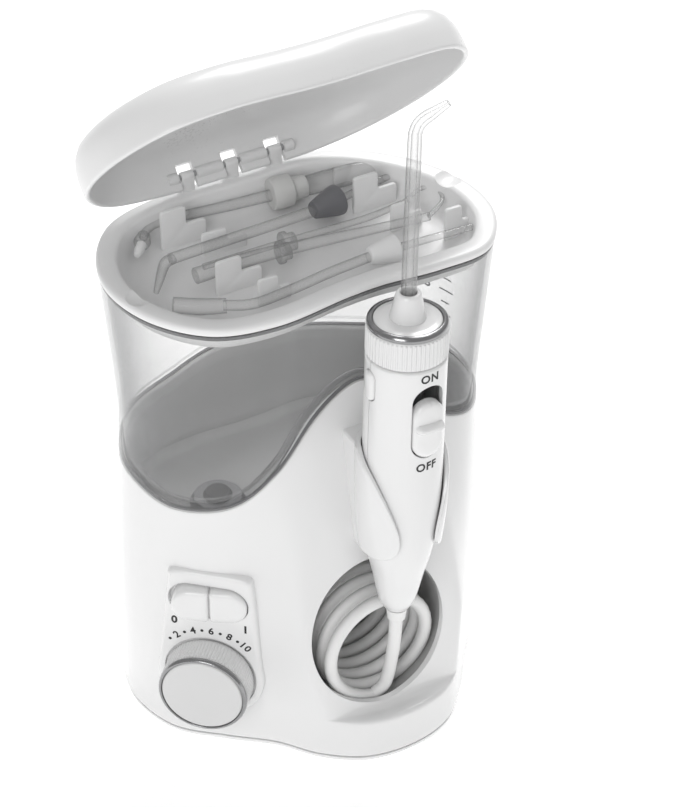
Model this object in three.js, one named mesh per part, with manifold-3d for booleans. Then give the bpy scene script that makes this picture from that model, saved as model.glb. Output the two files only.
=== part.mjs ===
// Countertop water flosser with its lid open: base, lift-off tank, tip tray, handle on its bracket.
// Millimetres, +Z up, the front of the flosser towards -Y. The tank's centre line is x = 0, y = 0
// while the pieces are made; the group is moved at the end so that its box stands centred on z = 0.
import * as THREE from "three";
import { mergeVertices } from "three/addons/utils/BufferGeometryUtils.js";
import Module from "manifold-3d";

const wasm = await Module();
wasm.setup();

// ---- driving dimensions -------------------------------------------------------------------
const bodyWidth = 145; // across the tray's rim
const bodyDepth = 90; // front to back at the tray's rim
const trayTop = 196; // height of the tray's rim above the table
const waist = 5.5; // how far the body pulls in where tank meets base
const waistHeight = 132;
const snoutReach = 75; // how far the hose bay stands out in front of the tank's centre
const snoutFull = 47; // below this height the snout keeps its full reach
const snoutTop = 152; // where the snout has faded into the tank's wall

const wall = 2.5; // base housing
const tankWall = 2;
const gap = 0.4; // between neighbouring pieces
const fine = 0.3; // between pieces that touch

const footHeight = 2;
const footRadius = 6;
const plateBottom = 1.5;
const plateThickness = 2.6;
const deckTop = 87.5; // shelf that the tank stands over
const deckThickness = 2.5;

const trayFlange = 3.2;
const trayFlangeWidth = 8;
const trayDepth = 12;
const trayWall = 1.8;

const lidHeight = 20;
const lidWall = 2.2;
const lidOpen = 50; // degrees, as it stands
const hingeSetIn = 1.5; // hinge line in front of the rim's back edge
const hingeRise = 5.5; // hinge line above the rim
const hingePin = 1.1;
const hingePitch = 18;
const hingeCentreX = -1.5;
const postWidth = 5;

const hoseDiameter = 5;
const coilX = 4;
const coilZ = 42.5;
const coilRadius = 21.3; // to the hose's centre line
const coilFront = -56.9;
const coilTurns = 5.6;

const handleFoot = new THREE.Vector3(8.2, -62.8, 64);
const handleHead = new THREE.Vector3(13.9, -58.3, 191.8);
const handleRadius = 14.6;
const handleWall = 2;

const dialRadius = 17;
const dialReach = 12; // how far its face stands off the panel
const dialZ = 36;
const rockerZ = 71;
const panelFacing = 43; // degrees from the front towards the left
const panelPlace = -148.5; // where the dial is, in degrees from +X
const panelProud = 1.4;

const motorRadius = 16;
const motorLength = 36;
const pinionTeeth = 12;
const crankTeeth = 40;
const gearModule = 0.9;
const crankThrow = 3;

// ---- materials ----------------------------------------------------------------------------
function finish(color, roughness, metalness = 0, opacity = 1) {
  return new THREE.MeshStandardMaterial({
    color,
    roughness,
    metalness,
    opacity,
    transparent: opacity < 1,
  });
}
const white = () => finish(0xf4f4f3, 0.25);
const satinWhite = () => finish(0xe9e9e8, 0.45);
const clear = () => finish(0xdfe4e6, 0.08, 0, 0.35);
const chrome = () => finish(0x9fa1a3, 0.18, 1);
const steel = () => finish(0x8c8f92, 0.35, 1);
const rubber = () => finish(0x2e2f31, 0.8);
const greyPlastic = () => finish(0x77797b, 0.5);
const hoseWhite = () => finish(0xf1f1ef, 0.4);
const brass = () => finish(0xb59a55, 0.35, 1);

// ---- solids -------------------------------------------------------------------------------
const degrees = (d) => (d * Math.PI) / 180;

function solid(geometry) {
  const bare = geometry.index ? geometry.toNonIndexed() : geometry.clone();
  bare.deleteAttribute("normal");
  bare.deleteAttribute("uv");
  const merged = mergeVertices(bare, 1e-4);
  const vertProperties = new Float32Array(merged.attributes.position.array);
  const triVerts = new Uint32Array(merged.index.array);
  return new wasm.Manifold(new wasm.Mesh({ numProp: 3, vertProperties, triVerts }));
}

function geometryOf(body) {
  const m = body.getMesh();
  const flat = new Float32Array(m.numVert * 3);
  for (let i = 0; i < m.numVert; i++) {
    flat.set(m.vertProperties.subarray(i * m.numProp, i * m.numProp + 3), i * 3);
  }
  const g = new THREE.BufferGeometry();
  g.setAttribute("position", new THREE.BufferAttribute(flat, 3));
  g.setIndex(new THREE.BufferAttribute(new Uint32Array(m.triVerts), 1));
  return g;
}

const join = (first, ...rest) => rest.reduce((a, b) => a.add(b), first);
const cut = (first, ...rest) => rest.reduce((a, b) => a.subtract(b), first);

function node(parent, name, body, material) {
  const mesh = new THREE.Mesh(body.isBufferGeometry ? body : geometryOf(body), material);
  mesh.name = name;
  parent.add(mesh);
  return mesh;
}

function block(width, depth, height, x, y, z) {
  return solid(new THREE.BoxGeometry(width, depth, height).translate(x, y, z));
}

// A round bar between two points, which may taper.
function bar(from, to, radius, endRadius = radius, sides = 16) {
  const a = new THREE.Vector3(...from);
  const b = new THREE.Vector3(...to);
  const along = b.clone().sub(a);
  const g = new THREE.CylinderGeometry(endRadius, radius, along.length(), sides);
  const turn = new THREE.Quaternion().setFromUnitVectors(
    new THREE.Vector3(0, 1, 0),
    along.clone().normalize(),
  );
  g.applyQuaternion(turn);
  g.translate(...a.add(b).multiplyScalar(0.5).toArray());
  return solid(g);
}

// A turned piece about +Z, from [radius, height] pairs.
function turned(profile, sides = 32) {
  const points = profile.map(([r, z]) => new THREE.Vector2(r, z));
  return new THREE.LatheGeometry(points, sides).rotateX(Math.PI / 2);
}

// A flat outline in the XZ plane, given depth along Y from y0 to y1.
function slabXZ(shape, y0, y1, curveSegments = 8) {
  const g = new THREE.ExtrudeGeometry(shape, { depth: y1 - y0, bevelEnabled: false, curveSegments });
  return g.rotateX(Math.PI / 2).translate(0, y1, 0);
}

// A flat outline in the YZ plane, given width along X from x0 to x1.
function slabYZ(points, x0, x1) {
  const shape = new THREE.Shape(points.map(([y, z]) => new THREE.Vector2(y, z)));
  const g = new THREE.ExtrudeGeometry(shape, { depth: x1 - x0, bevelEnabled: false });
  g.rotateX(Math.PI / 2).rotateZ(Math.PI / 2);
  return g.translate(x0, 0, 0);
}

function stadium(width, height, x = 0, z = 0) {
  const r = Math.min(width, height) / 2;
  const dx = width / 2 - r;
  const dz = height / 2 - r;
  const shape = new THREE.Shape();
  shape.absarc(x + dx, z + dz, r, 0, Math.PI / 2);
  shape.absarc(x - dx, z + dz, r, Math.PI / 2, Math.PI);
  shape.absarc(x - dx, z - dz, r, Math.PI, 1.5 * Math.PI);
  shape.absarc(x + dx, z - dz, r, 1.5 * Math.PI, 2 * Math.PI);
  return shape;
}

function tube(points, diameter, steps, sides = 10) {
  const route = new THREE.CatmullRomCurve3(points.map((p) => new THREE.Vector3(...p)));
  const shape = new THREE.Shape();
  shape.absarc(0, 0, diameter / 2, 0, 2 * Math.PI);
  return new THREE.ExtrudeGeometry(shape, {
    extrudePath: route,
    steps,
    bevelEnabled: false,
    curveSegments: sides / 2,
  });
}

// ---- the body's outline -------------------------------------------------------------------
const around = 40; // points in each section

// The distance from the centre line to a closed smooth outline, as a function of the angle.
function polar(points) {
  const curve = new THREE.CatmullRomCurve3(
    points.map(([x, y]) => new THREE.Vector3(x, y, 0)),
    true,
    "centripetal",
  );
  const table = curve.getPoints(480).map((p) => [Math.atan2(p.y, p.x), Math.hypot(p.x, p.y)]);
  table.sort((a, b) => a[0] - b[0]);
  return (angle) => {
    const a = Math.atan2(Math.sin(angle), Math.cos(angle));
    const next = table.findIndex((row) => row[0] >= a);
    const hi = next < 0 ? [table[0][0] + 2 * Math.PI, table[0][1]] : table[next];
    const last = table[table.length - 1];
    const lo = next <= 0 ? [last[0] - (next < 0 ? 0 : 2 * Math.PI), last[1]] : table[next - 1];
    const t = (a - lo[0]) / (hi[0] - lo[0] || 1);
    return lo[1] + (hi[1] - lo[1]) * t;
  };
}

const halfWidth = bodyWidth / 2;
const halfDepth = bodyDepth / 2;
// The rim: straight at the back, round at the ends, with a shallow wave in the front.
const rimOutline = polar(
  [
    [0.41, 0.995], [0, 1], [-0.41, 0.995], [-0.745, 0.83], [-0.94, 0.44], [-1, 0], [-0.925, -0.5],
    [-0.72, -0.88], [-0.41, -1], [0, -0.93], [0.19, -0.915], [0.5, -0.955], [0.79, -0.91],
    [0.965, -0.56], [1, -0.13], [0.905, 0.35], [0.69, 0.77],
  ].map(([x, y]) => [x * halfWidth, y * halfDepth]),
);
// The foot: a little inside the rim at the back and sides, with the snout in front.
const footOutline = polar([
  ...[
    [0.41, 0.96], [0, 0.965], [-0.41, 0.96], [-0.72, 0.8], [-0.915, 0.4], [-0.972, 0], [-0.895, -0.48],
    [-0.69, -0.81],
  ].map(([x, y]) => [x * halfWidth, y * halfDepth]),
  [-0.49 * halfWidth, -0.65 * snoutReach],
  [-0.33 * halfWidth, -0.84 * snoutReach],
  [-0.12 * halfWidth, -0.975 * snoutReach],
  [0.15 * halfWidth, -snoutReach],
  [0.38 * halfWidth, -0.93 * snoutReach],
  [0.56 * halfWidth, -0.76 * snoutReach],
  ...[
    [0.74, -0.88], [0.91, -0.52], [0.958, -0.09], [0.875, 0.35], [0.675, 0.735],
  ].map(([x, y]) => [x * halfWidth, y * halfDepth]),
]);

// How far the tank's wall is inside the rim at a height.
function taper(z) {
  const t = THREE.MathUtils.clamp((trayTop - z) / (trayTop - waistHeight), 0, 1);
  return waist * t;
}

function bodyRadius(angle, z) {
  const share = THREE.MathUtils.clamp((snoutTop - z) / (snoutTop - snoutFull), 0, 1);
  const upper = rimOutline(angle) - taper(z);
  return upper + (footOutline(angle) - upper) * share;
}

// One closed section of the body at height z, moved inwards by inset along its normals.
function section(z, inset = 0, count = around) {
  const at = (a) => {
    const r = bodyRadius(a, z);
    return new THREE.Vector2(r * Math.cos(a), r * Math.sin(a));
  };
  const ring = [];
  for (let i = 0; i < count; i++) {
    const a = (2 * Math.PI * i) / count;
    const p = at(a);
    const along = at(a + 0.03).sub(at(a - 0.03)).normalize();
    ring.push(new THREE.Vector3(p.x - along.y * inset, p.y + along.x * inset, z));
  }
  return ring;
}

// A closed solid through a stack of sections with the same number of points.
function loft(rings) {
  const n = rings[0].length;
  const flat = rings.flat().flatMap((p) => [p.x, p.y, p.z]);
  const index = [];
  for (let k = 0; k + 1 < rings.length; k++) {
    for (let i = 0; i < n; i++) {
      const j = (i + 1) % n;
      const [a, b, c, d] = [k * n + i, k * n + j, (k + 1) * n + j, (k + 1) * n + i];
      index.push(a, b, c, a, c, d);
    }
  }
  const cap = (ring, base, up) => {
    const mid = ring.reduce((s, p) => s.add(p), new THREE.Vector3()).divideScalar(n);
    const centre = flat.length / 3;
    flat.push(mid.x, mid.y, mid.z);
    for (let i = 0; i < n; i++) {
      const j = (i + 1) % n;
      index.push(...(up ? [base + i, base + j, centre] : [base + j, base + i, centre]));
    }
  };
  cap(rings[0], 0, false);
  cap(rings[rings.length - 1], (rings.length - 1) * n, true);
  const g = new THREE.BufferGeometry();
  g.setAttribute("position", new THREE.Float32BufferAttribute(flat, 3));
  g.setIndex(index);
  return solid(g);
}

const bodyLoft = (heights, inset) => loft(heights.map((z) => section(z, inset)));

// ---- the wave where tank and base meet ----------------------------------------------------
// Height of the parting line by angle, in degrees from +X.
const wave = new THREE.SplineCurve(
  [
    [-180, 112], [-160, 109.5], [-140, 114], [-125, 126], [-110, 142], [-93, 149.5], [-76, 151],
    [-60, 142], [-47, 127], [-34, 121], [-12, 120], [15, 121], [42, 119], [75, 122], [105, 124],
    [130, 117], [155, 113.5], [180, 112],
  ].map(([a, z]) => new THREE.Vector2(a, z)),
).getPoints(360);

function waveHeight(angle) {
  const a = THREE.MathUtils.radToDeg(Math.atan2(Math.sin(angle), Math.cos(angle)));
  const k = Math.max(1, wave.findIndex((p) => p.x >= a));
  const t = (a - wave[k - 1].x) / (wave[k].x - wave[k - 1].x);
  return wave[k - 1].y + (wave[k].y - wave[k - 1].y) * t;
}

// Everything under the wave, raised by lift. Rings close to the wall keep the edge smooth there.
function underWave(lift) {
  const steps = 60;
  const level = (radius, height) =>
    Array.from({ length: steps }, (_, i) => {
      const a = (2 * Math.PI * i) / steps;
      const edge = waveHeight(a);
      const r = radius(bodyRadius(a, edge));
      return new THREE.Vector3(r * Math.cos(a), r * Math.sin(a), height ?? edge + lift);
    });
  const far = () => bodyWidth;
  return loft([
    level(far, -20),
    level(far),
    level((r) => r + 0.6),
    level((r) => r - 8),
    level(() => 8),
  ]);
}

// ---- the recess in front of the snout, which the handle hangs in --------------------------
const lipTop = 22;
// [y, z] down the recess's leaning face.
const recessLine = [[-66, lipTop], [-52, 80], [-44, 118], [-37.5, snoutTop - 1]];
function recess(into) {
  const line = recessLine.map(([y, z]) => [y + into, z]);
  const [lowest] = line;
  const out = -snoutReach - 40;
  const points = [
    [out, lipTop - into],
    [lowest[0] - into * 0.2, lipTop - into],
    ...line.slice(1),
    [line[3][0] + 1, snoutTop + 30],
    [out, snoutTop + 30],
  ];
  return solid(slabYZ(points, -bodyWidth, bodyWidth));
}

// The mouth of the hose bay, a tall oval in the leaning face.
const mouth = { x: 2.7, z: 51.5, halfWidth: 27.7, halfHeight: 29.5 };
const ringIn = coilRadius - hoseDiameter / 2;
const ringOut = coilRadius + hoseDiameter / 2;
const bayZ = 49;
const bay = {
  x: 3,
  z: bayZ,
  halfWidth: ringOut + 4.4,
  halfHeight: bayZ - coilZ + ringOut + 0.7,
  wall: 1.8,
};
const hosePitch = hoseDiameter + 0.1;
const coilBack = coilFront + coilTurns * hosePitch;
const bayBack = coilBack + hoseDiameter + 0.8;

function ovalBar(x, z, a, b, y0, y1, sides = 40) {
  const g = new THREE.CylinderGeometry(1, 1, y1 - y0, sides).scale(a, 1, b);
  return solid(g.translate(x, (y0 + y1) / 2, z));
}

// ---- handle frame -------------------------------------------------------------------------
const handleAxis = handleHead.clone().sub(handleFoot).normalize();
const handleTurn = new THREE.Quaternion().setFromUnitVectors(
  new THREE.Vector3(0, 0, 1),
  handleAxis,
);
const handleFrame = new THREE.Matrix4().compose(
  handleFoot,
  handleTurn,
  new THREE.Vector3(1, 1, 1),
);
// [height along the axis, radius], from the hose end up to the neck.
const neckHeight = 112;
const handleSilhouette = [
  [0, 3.6], [2, 5.2], [6, 7.2], [17.8, 9.7], [26, 11.7], [48.8, 14.1], [70, handleRadius],
  [neckHeight, handleRadius],
];
const grown = (by) => handleSilhouette.map(([s, r]) => [r + by, s]);
function handleBlank(by, from = 0, to = neckHeight) {
  const inside = grown(by);
  return turned([[0, from], [inside[0][0], from], ...inside.slice(1, -1), [handleRadius + by, to], [0, to]]);
}

// ---- base ---------------------------------------------------------------------------------
const flosser = new THREE.Group();
const bench = new THREE.Group(); // pieces in the tank's frame
flosser.add(bench);

const housingBottom = plateBottom + plateThickness + fine;
const housingTop = 156;
const levels = [snoutFull, waistHeight, snoutTop];
const outer = cut(
  loft([
    section(housingBottom, 0.8),
    section(housingBottom + 3, 0),
    ...levels.map((z) => section(z)),
    section(housingTop),
  ]),
  recess(0),
);
const insideOf = (inset, from, to) =>
  cut(bodyLoft([from, ...levels.filter((z) => z > from && z < to), to], inset), recess(inset));
const deckUnder = deckTop - deckThickness;

// Panel frame: its normal faces the left front. Local x runs to the right, y out of the panel.
const panelNormal = new THREE.Vector3(-Math.sin(degrees(panelFacing)), -Math.cos(degrees(panelFacing)), 0);
const panelAngle = degrees(panelPlace);
const panelOrigin = new THREE.Vector3(Math.cos(panelAngle), Math.sin(panelAngle), 0)
  .multiplyScalar(bodyRadius(panelAngle, dialZ))
  .add(panelNormal.clone().multiplyScalar(panelProud));
const panelTurn = new THREE.Matrix4()
  .makeRotationZ(-degrees(panelFacing))
  .setPosition(panelOrigin);
const onPanel = (g) => solid(g.applyMatrix4(panelTurn));

const panelShape = (grow) => {
  const top = rockerZ + 13 + grow;
  const r = dialRadius + 4 + grow;
  const shape = new THREE.Shape();
  shape.moveTo(-15.5 - grow, top - 4);
  shape.quadraticCurveTo(-15.5 - grow, top, -11.5, top);
  shape.lineTo(12.5, top);
  shape.quadraticCurveTo(16.5 + grow, top, 16.8 + grow, top - 4);
  shape.lineTo(r, dialZ + 6);
  shape.absarc(0, dialZ, r, degrees(15), degrees(-195), true);
  return shape;
};
const rockerWidth = 28;
const rockerHeight = 14;
const rockerHole = () => onPanel(slabXZ(stadium(rockerWidth + 2.4, rockerHeight + 1, 0, rockerZ), -8, 14));
const dialHole = () =>
  onPanel(new THREE.CylinderGeometry(4.4, 4.4, 24, 24).translate(0, 4, dialZ));

const bossAngles = [150, 32, -164, -24].map(degrees);
const bossRadius = 4;
const screwRadius = 1.4;
const bossSpot = (a) => {
  const r = bodyRadius(a, 20) - wall - 3;
  return [r * Math.cos(a), r * Math.sin(a)];
};

let housing = cut(
  outer,
  insideOf(wall, housingBottom - 2, deckUnder),
  insideOf(wall, deckTop, housingTop + 10),
);
const bosses = bossAngles.map((a) => {
  const [x, y] = bossSpot(a);
  return bar([x, y, housingBottom], [x, y, 34], bossRadius);
});
const lowerCore = insideOf(wall - 0.5, housingBottom, deckUnder + 1);
housing = join(housing, ...bosses.map((b) => b.intersect(lowerCore)));
const tankPort = { x: -35, y: -5, radius: 7.5 };
const socketZ = 36; // mains inlet in the back wall
const inletX = 28;
const backY = (z, inset) => bodyRadius(Math.PI / 2, z) - inset;
housing = cut(
  housing,
  ovalBar(mouth.x, mouth.z, mouth.halfWidth, mouth.halfHeight, -snoutReach - 5, -40),
  ...bossAngles.map((a) => {
    const [x, y] = bossSpot(a);
    return bar([x, y, housingBottom - 1], [x, y, 20], screwRadius + fine);
  }),
  bar([tankPort.x, tankPort.y, deckUnder - 2], [tankPort.x, tankPort.y, deckTop + 2], tankPort.radius + gap),
  block(16 + 2 * gap, 12, 11 + 2 * gap, inletX, backY(socketZ, 3), socketZ),
  rockerHole(),
  dialHole(),
);
housing = housing.intersect(underWave(-gap));
node(bench, "base_housing", housing, white());

// The flat plate under the base, with pockets for the feet and holes for the screws.
const footAngles = [126, 54, -143, -76].map(degrees);
const footSpot = (a) => {
  const r = bodyRadius(a, 5) - footRadius - 5;
  return [r * Math.cos(a), r * Math.sin(a)];
};
const plateTop = plateBottom + plateThickness;
const pocket = footHeight - plateBottom + fine;
const screwHead = 2.6;
const headDepth = 1.4;
const plate = cut(
  loft([section(plateBottom, 2.2), section(plateBottom + 1.4, 1), section(plateTop, 0.7)]),
  ...footAngles.map((a) => {
    const [x, y] = footSpot(a);
    return bar([x, y, 0], [x, y, plateBottom + pocket], footRadius + fine);
  }),
  ...bossAngles.flatMap((a) => {
    const [x, y] = bossSpot(a);
    return [
      bar([x, y, 0], [x, y, plateTop + 2], screwRadius + fine),
      bar([x, y, 0], [x, y, plateBottom + headDepth + fine], screwHead + fine),
    ];
  }),
);
node(bench, "base_plate", plate, white());
footAngles.forEach((a, i) => {
  const [x, y] = footSpot(a);
  node(bench, `rubber_foot_${i + 1}`, bar([x, y, 0], [x, y, footHeight], footRadius - 0.6, footRadius, 24), rubber());
});
bossAngles.forEach((a, i) => {
  const [x, y] = bossSpot(a);
  const low = plateBottom + fine;
  const screw = join(
    bar([x, y, low], [x, y, low + headDepth - fine], screwHead, screwHead, 16),
    bar([x, y, low + 0.5], [x, y, 16], screwRadius, screwRadius, 12),
  );
  node(bench, `base_screw_${i + 1}`, cut(screw, block(3.6, 0.8, 0.8, x, y, low)), steel());
});

// The oval bay that stores the coiled hose.
const bayShell = cut(
  ovalBar(bay.x, bay.z, bay.halfWidth + bay.wall, bay.halfHeight + bay.wall, -72, bayBack + bay.wall),
  ovalBar(bay.x, bay.z, bay.halfWidth, bay.halfHeight, -80, bayBack),
).intersect(insideOf(wall + gap, housingBottom, deckUnder - 0.2));
const tailX = coilX - coilRadius;
const tailY = coilBack + hoseDiameter / 2 + 0.2;
const grommetLow = 60;
const grommetHigh = 72;
node(
  bench,
  "hose_bay",
  cut(bayShell, bar([tailX, tailY, 50], [tailX, tailY, 80], 4 + gap)),
  satinWhite(),
);
node(
  bench,
  "hose_grommet",
  cut(
    solid(turned([[0, grommetLow], [3.4, grommetLow], [4, grommetLow + 4], [4, grommetHigh], [0, grommetHigh]], 20)
      .translate(tailX, tailY, 0)),
    bar([tailX, tailY, grommetLow + 6], [tailX, tailY, grommetHigh + 1], 1.4),
  ),
  hoseWhite(),
);

// The hose: one ring for the coil, a tail up to the grommet and the drop from the handle.
const coilRing = new THREE.LatheGeometry(
  [[ringIn, coilFront], [ringOut, coilFront], [ringOut, coilBack], [ringIn, coilBack], [ringIn, coilFront]].map(
    ([r, y]) => new THREE.Vector2(r, y),
  ),
  40,
).translate(coilX, 0, coilZ);
node(bench, "hose_coil", solid(coilRing), hoseWhite());
const tailTurn = Array.from({ length: 7 }, (_, i) => degrees(-120 - 10 * i)).map((a) => [
  coilX + coilRadius * Math.cos(a),
  tailY,
  coilZ + coilRadius * Math.sin(a),
]);
const tail = [...tailTurn, [tailX, tailY, 51], [tailX, tailY, grommetLow - fine]];
node(bench, "hose_tail", solid(tube(tail, hoseDiameter, 18)), hoseWhite());
const dropY = coilFront - hoseDiameter / 2 - 0.4;
const dropTop = handleFoot.z - 5;
const drop = [
  [7.9, handleFoot.y - 0.2, dropTop],
  [7.7, handleFoot.y, 52],
  [7.3, handleFoot.y + 0.8, 44],
  [6.4, dropY - 0.6, 37.5],
  [4.2, dropY, 32],
  [0.6, dropY, 28],
  [-4, dropY, 25.8],
];
node(bench, "hose_drop", solid(tube(drop, hoseDiameter, 24)), hoseWhite());

// Bracket: a back block against the recess and two arms that follow the handle's taper.
const bracketLow = 24; // along the handle's axis
const bracketHigh = 74;
const armThickness = 2.3;
const armGap = 0.7;
const along = (from, to, by) =>
  solid(handleBlank(by)).intersect(solid(new THREE.CylinderGeometry(40, 40, to - from, 8)
    .rotateX(Math.PI / 2).translate(0, 0, (from + to) / 2)));
const shellRound = along(bracketLow, bracketHigh, armGap + armThickness);
const armShape = [
  [40, 78], [5.5, 74], [-1, 70.5], [-7.5, 60], [-12, 47], [-13.4, 40], [-12.6, 34],
  [-9.5, 31], [-5, 30], [0, 31.2], [5, 34], [40, 34],
];
const arms = solid(slabYZ(armShape, -30, 30));
const cradle = block(2 * (handleRadius + 2.4), 22, 46, 0, 12, 51);
const bracket = cut(
  join(shellRound.intersect(arms), cradle),
  solid(handleBlank(armGap, -5, 130)),
).intersect(block(60, 60, 120, 0, 8, 11));
const worldBracket = solid(geometryOf(bracket).applyMatrix4(handleFrame));
node(
  bench,
  "handle_bracket",
  cut(
    worldBracket,
    bodyLoft([10, ...levels], -gap).subtract(recess(-gap)),
    block(200, 60, 200, 0, -10, 100),
  ),
  white(),
);

// Control panel, rocker switch and pressure dial.
const panelPlate = cut(
  onPanel(slabXZ(panelShape(0), 0, 16)),
  bodyLoft([5, ...levels], -fine),
  rockerHole(),
  dialHole(),
);
node(bench, "control_panel", panelPlate, white());

const rockerTilt = 7; // the 0 side is pressed in at rest
const rockerPivot = 5; // behind the panel's face
const rockerBody = () => {
  const g = slabXZ(stadium(rockerWidth, rockerHeight), -2.2, 5);
  const waistCut = 1.3;
  const pad = solid(g);
  return cut(
    pad,
    solid(slabXZ(stadium(3, 3, 0, rockerHeight / 2 + waistCut), -4, 0.4)),
    solid(slabXZ(stadium(3, 3, 0, -rockerHeight / 2 - waistCut), -4, 0.4)),
  );
};
const rockerFrame = new THREE.Group();
rockerFrame.applyMatrix4(panelTurn);
bench.add(rockerFrame);
const rocker = node(rockerFrame, "power_rocker", rockerBody(), white());
rocker.position.set(0, 0, rockerZ);
rocker.geometry.translate(0, -rockerPivot, 0);
rocker.geometry.rotateZ(degrees(rockerTilt));
rocker.geometry.translate(0, rockerPivot, 0);
node(
  rockerFrame,
  "switch_module",
  block(21, 12, 12, 0, rockerPivot + 10.5, rockerZ),
  greyPlastic(),
);

const dialFrame = new THREE.Group();
dialFrame.applyMatrix4(panelTurn);
bench.add(dialFrame);
// Profiles about the dial's axis: [radius, distance out of the panel].
function dialTurned(profile, sides) {
  const points = profile.map(([r, out]) => new THREE.Vector2(r, -out)).reverse();
  return new THREE.LatheGeometry(points, sides).translate(0, 0, dialZ);
}
const knurls = 40;
function knurledBarrel(radius, depth, low, high) {
  const shape = new THREE.Shape();
  for (let i = 0; i < 2 * knurls; i++) {
    const a = (Math.PI * i) / knurls;
    const r = radius - (i % 2) * depth;
    const [x, y] = [r * Math.cos(a), r * Math.sin(a)];
    if (i === 0) shape.moveTo(x, y);
    else shape.lineTo(x, y);
  }
  shape.closePath();
  return new THREE.ExtrudeGeometry(shape, { depth: high - low, bevelEnabled: false }).translate(0, 0, low);
}
const knobBody = cut(
  solid(knurledBarrel(dialRadius, 0.5, 0.8, dialReach - 2).rotateX(Math.PI / 2).translate(0, 0, dialZ)),
  solid(dialTurned([[0, dialReach - 3], [15, dialReach - 3], [15, dialReach], [0, dialReach]], 36)),
);
node(dialFrame, "dial_knob", knobBody, white());
const ringProfile = [
  [14.6, dialReach - 1.7], [dialRadius - 0.2, dialReach - 1.7], [dialRadius - 0.3, dialReach - 0.6],
  [dialRadius - 1.3, dialReach], [14.6, dialReach], [14.6, dialReach - 1.7],
];
node(dialFrame, "dial_ring", solid(dialTurned(ringProfile, 40)), chrome());
const capProfile = [[0, dialReach - 2.6], [14.2, dialReach - 2.6], [14.2, dialReach - 0.5], [0, dialReach + 0.1]];
node(dialFrame, "dial_cap", solid(dialTurned(capProfile, 36)), satinWhite());
node(
  dialFrame,
  "regulator_stem",
  bar([0, -0.4, dialZ], [0, 15, dialZ], 2.6, 2.6, 16),
  steel(),
);
node(
  dialFrame,
  "regulator_body",
  cut(block(15, 11, 21, 0, 14.5, dialZ), bar([0, 5, dialZ], [0, 15.6, dialZ], 2.6 + fine, 2.6 + fine, 16)),
  greyPlastic(),
);

// Mains inlet in the back wall.
const inletBody = cut(
  block(16, 14, 11, inletX, backY(socketZ, 5.4), socketZ),
  block(11, 9, 6.5, inletX, backY(socketZ, 0), socketZ),
);
node(bench, "mains_inlet", inletBody, greyPlastic());

// ---- pump ---------------------------------------------------------------------------------
const motorY = 18;
const motorZ = 31;
const motorRight = -6;
const centres = (gearModule * (pinionTeeth + crankTeeth)) / 2 + 0.15;
const crankZ = motorZ + centres;
const motorLeft = motorRight - motorLength;
node(
  bench,
  "pump_motor",
  join(
    bar([motorLeft, motorY, motorZ], [motorRight, motorY, motorZ], motorRadius, motorRadius, 24),
    bar([motorLeft - 3, motorY, motorZ], [motorLeft + 1, motorY, motorZ], 5, 5, 20),
    bar([motorRight - 1, motorY, motorZ], [motorRight + 1.6, motorY, motorZ], 5, 5, 20),
  ).subtract(bar([motorRight - 8, motorY, motorZ], [motorRight + 3, motorY, motorZ], 1.5 + fine, 1.5 + fine, 16)),
  steel(),
);

// A spur gear about +X whose tooth (or gap, when half is 0.5) points along +Z.
function gear(teeth, width, x, half) {
  const pitch = (gearModule * teeth) / 2;
  const tip = pitch + gearModule * 0.8;
  const root = pitch - gearModule * 1.1;
  const shape = new THREE.Shape();
  const step = (2 * Math.PI) / teeth;
  const flank = [[-0.29, root], [-0.12, tip], [0.12, tip], [0.29, root]];
  for (let i = 0; i < teeth; i++) {
    flank.forEach(([off, r], k) => {
      const a = Math.PI / 2 + step * (i + half + off);
      const point = [r * Math.cos(a), r * Math.sin(a)];
      if (i === 0 && k === 0) shape.moveTo(...point);
      else shape.lineTo(...point);
    });
  }
  shape.closePath();
  return new THREE.ExtrudeGeometry(shape, { depth: width, bevelEnabled: false })
    .rotateX(Math.PI / 2)
    .rotateZ(Math.PI / 2)
    .translate(x, 0, 0);
}
const gearX = -2.5;
const gearWidth = 6;
node(
  bench,
  "motor_pinion",
  join(
    solid(gear(pinionTeeth, gearWidth, gearX, 0).translate(0, motorY, motorZ)),
    bar([motorRight - 7, motorY, motorZ], [gearX + gearWidth - 1, motorY, motorZ], 1.5, 1.5, 16),
  ),
  brass(),
);
const rodX = 17;
const crankPinRadius = 2.4;
const bearingX = -10;
node(
  bench,
  "crank_gear",
  join(
    solid(gear(crankTeeth, gearWidth - 1, gearX + 0.5, 0.5).translate(0, motorY, crankZ)),
    bar([bearingX + 1, motorY, crankZ], [gearX + 1, motorY, crankZ], 3, 3, 20),
    bar([gearX + 1, motorY, crankZ], [rodX - 5, motorY, crankZ], 7, 7, 24),
    bar([rodX - 6, motorY + crankThrow, crankZ], [rodX + 4, motorY + crankThrow, crankZ], crankPinRadius, crankPinRadius, 20),
  ),
  satinWhite(),
);
const eyeHole = 2 * crankThrow + crankPinRadius + 0.6;
const pistonRadius = 5;
const pistonTop = crankZ - 24;
node(
  bench,
  "pump_piston",
  join(
    cut(
      bar([rodX - 2.5, motorY, crankZ], [rodX + 2.5, motorY, crankZ], eyeHole + 2.4, eyeHole + 2.4, 24),
      bar([rodX - 4, motorY, crankZ], [rodX + 4, motorY, crankZ], eyeHole, eyeHole, 24),
    ),
    bar([rodX, motorY, crankZ - eyeHole - 1.2], [rodX, motorY, pistonTop - 4], 2.2, 2.2, 16),
    bar([rodX, motorY, pistonTop - 2], [rodX, motorY, pistonTop - 14], pistonRadius, pistonRadius, 24),
  ),
  satinWhite(),
);
const pumpLow = 9;
const pumpHigh = pistonTop - 5;
const chestX = rodX + 14.5;
const chest = block(15, 18, 24, chestX, motorY, pumpLow + 12);
const valveSpots = [motorY - 4.4, motorY + 4.4];
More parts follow.
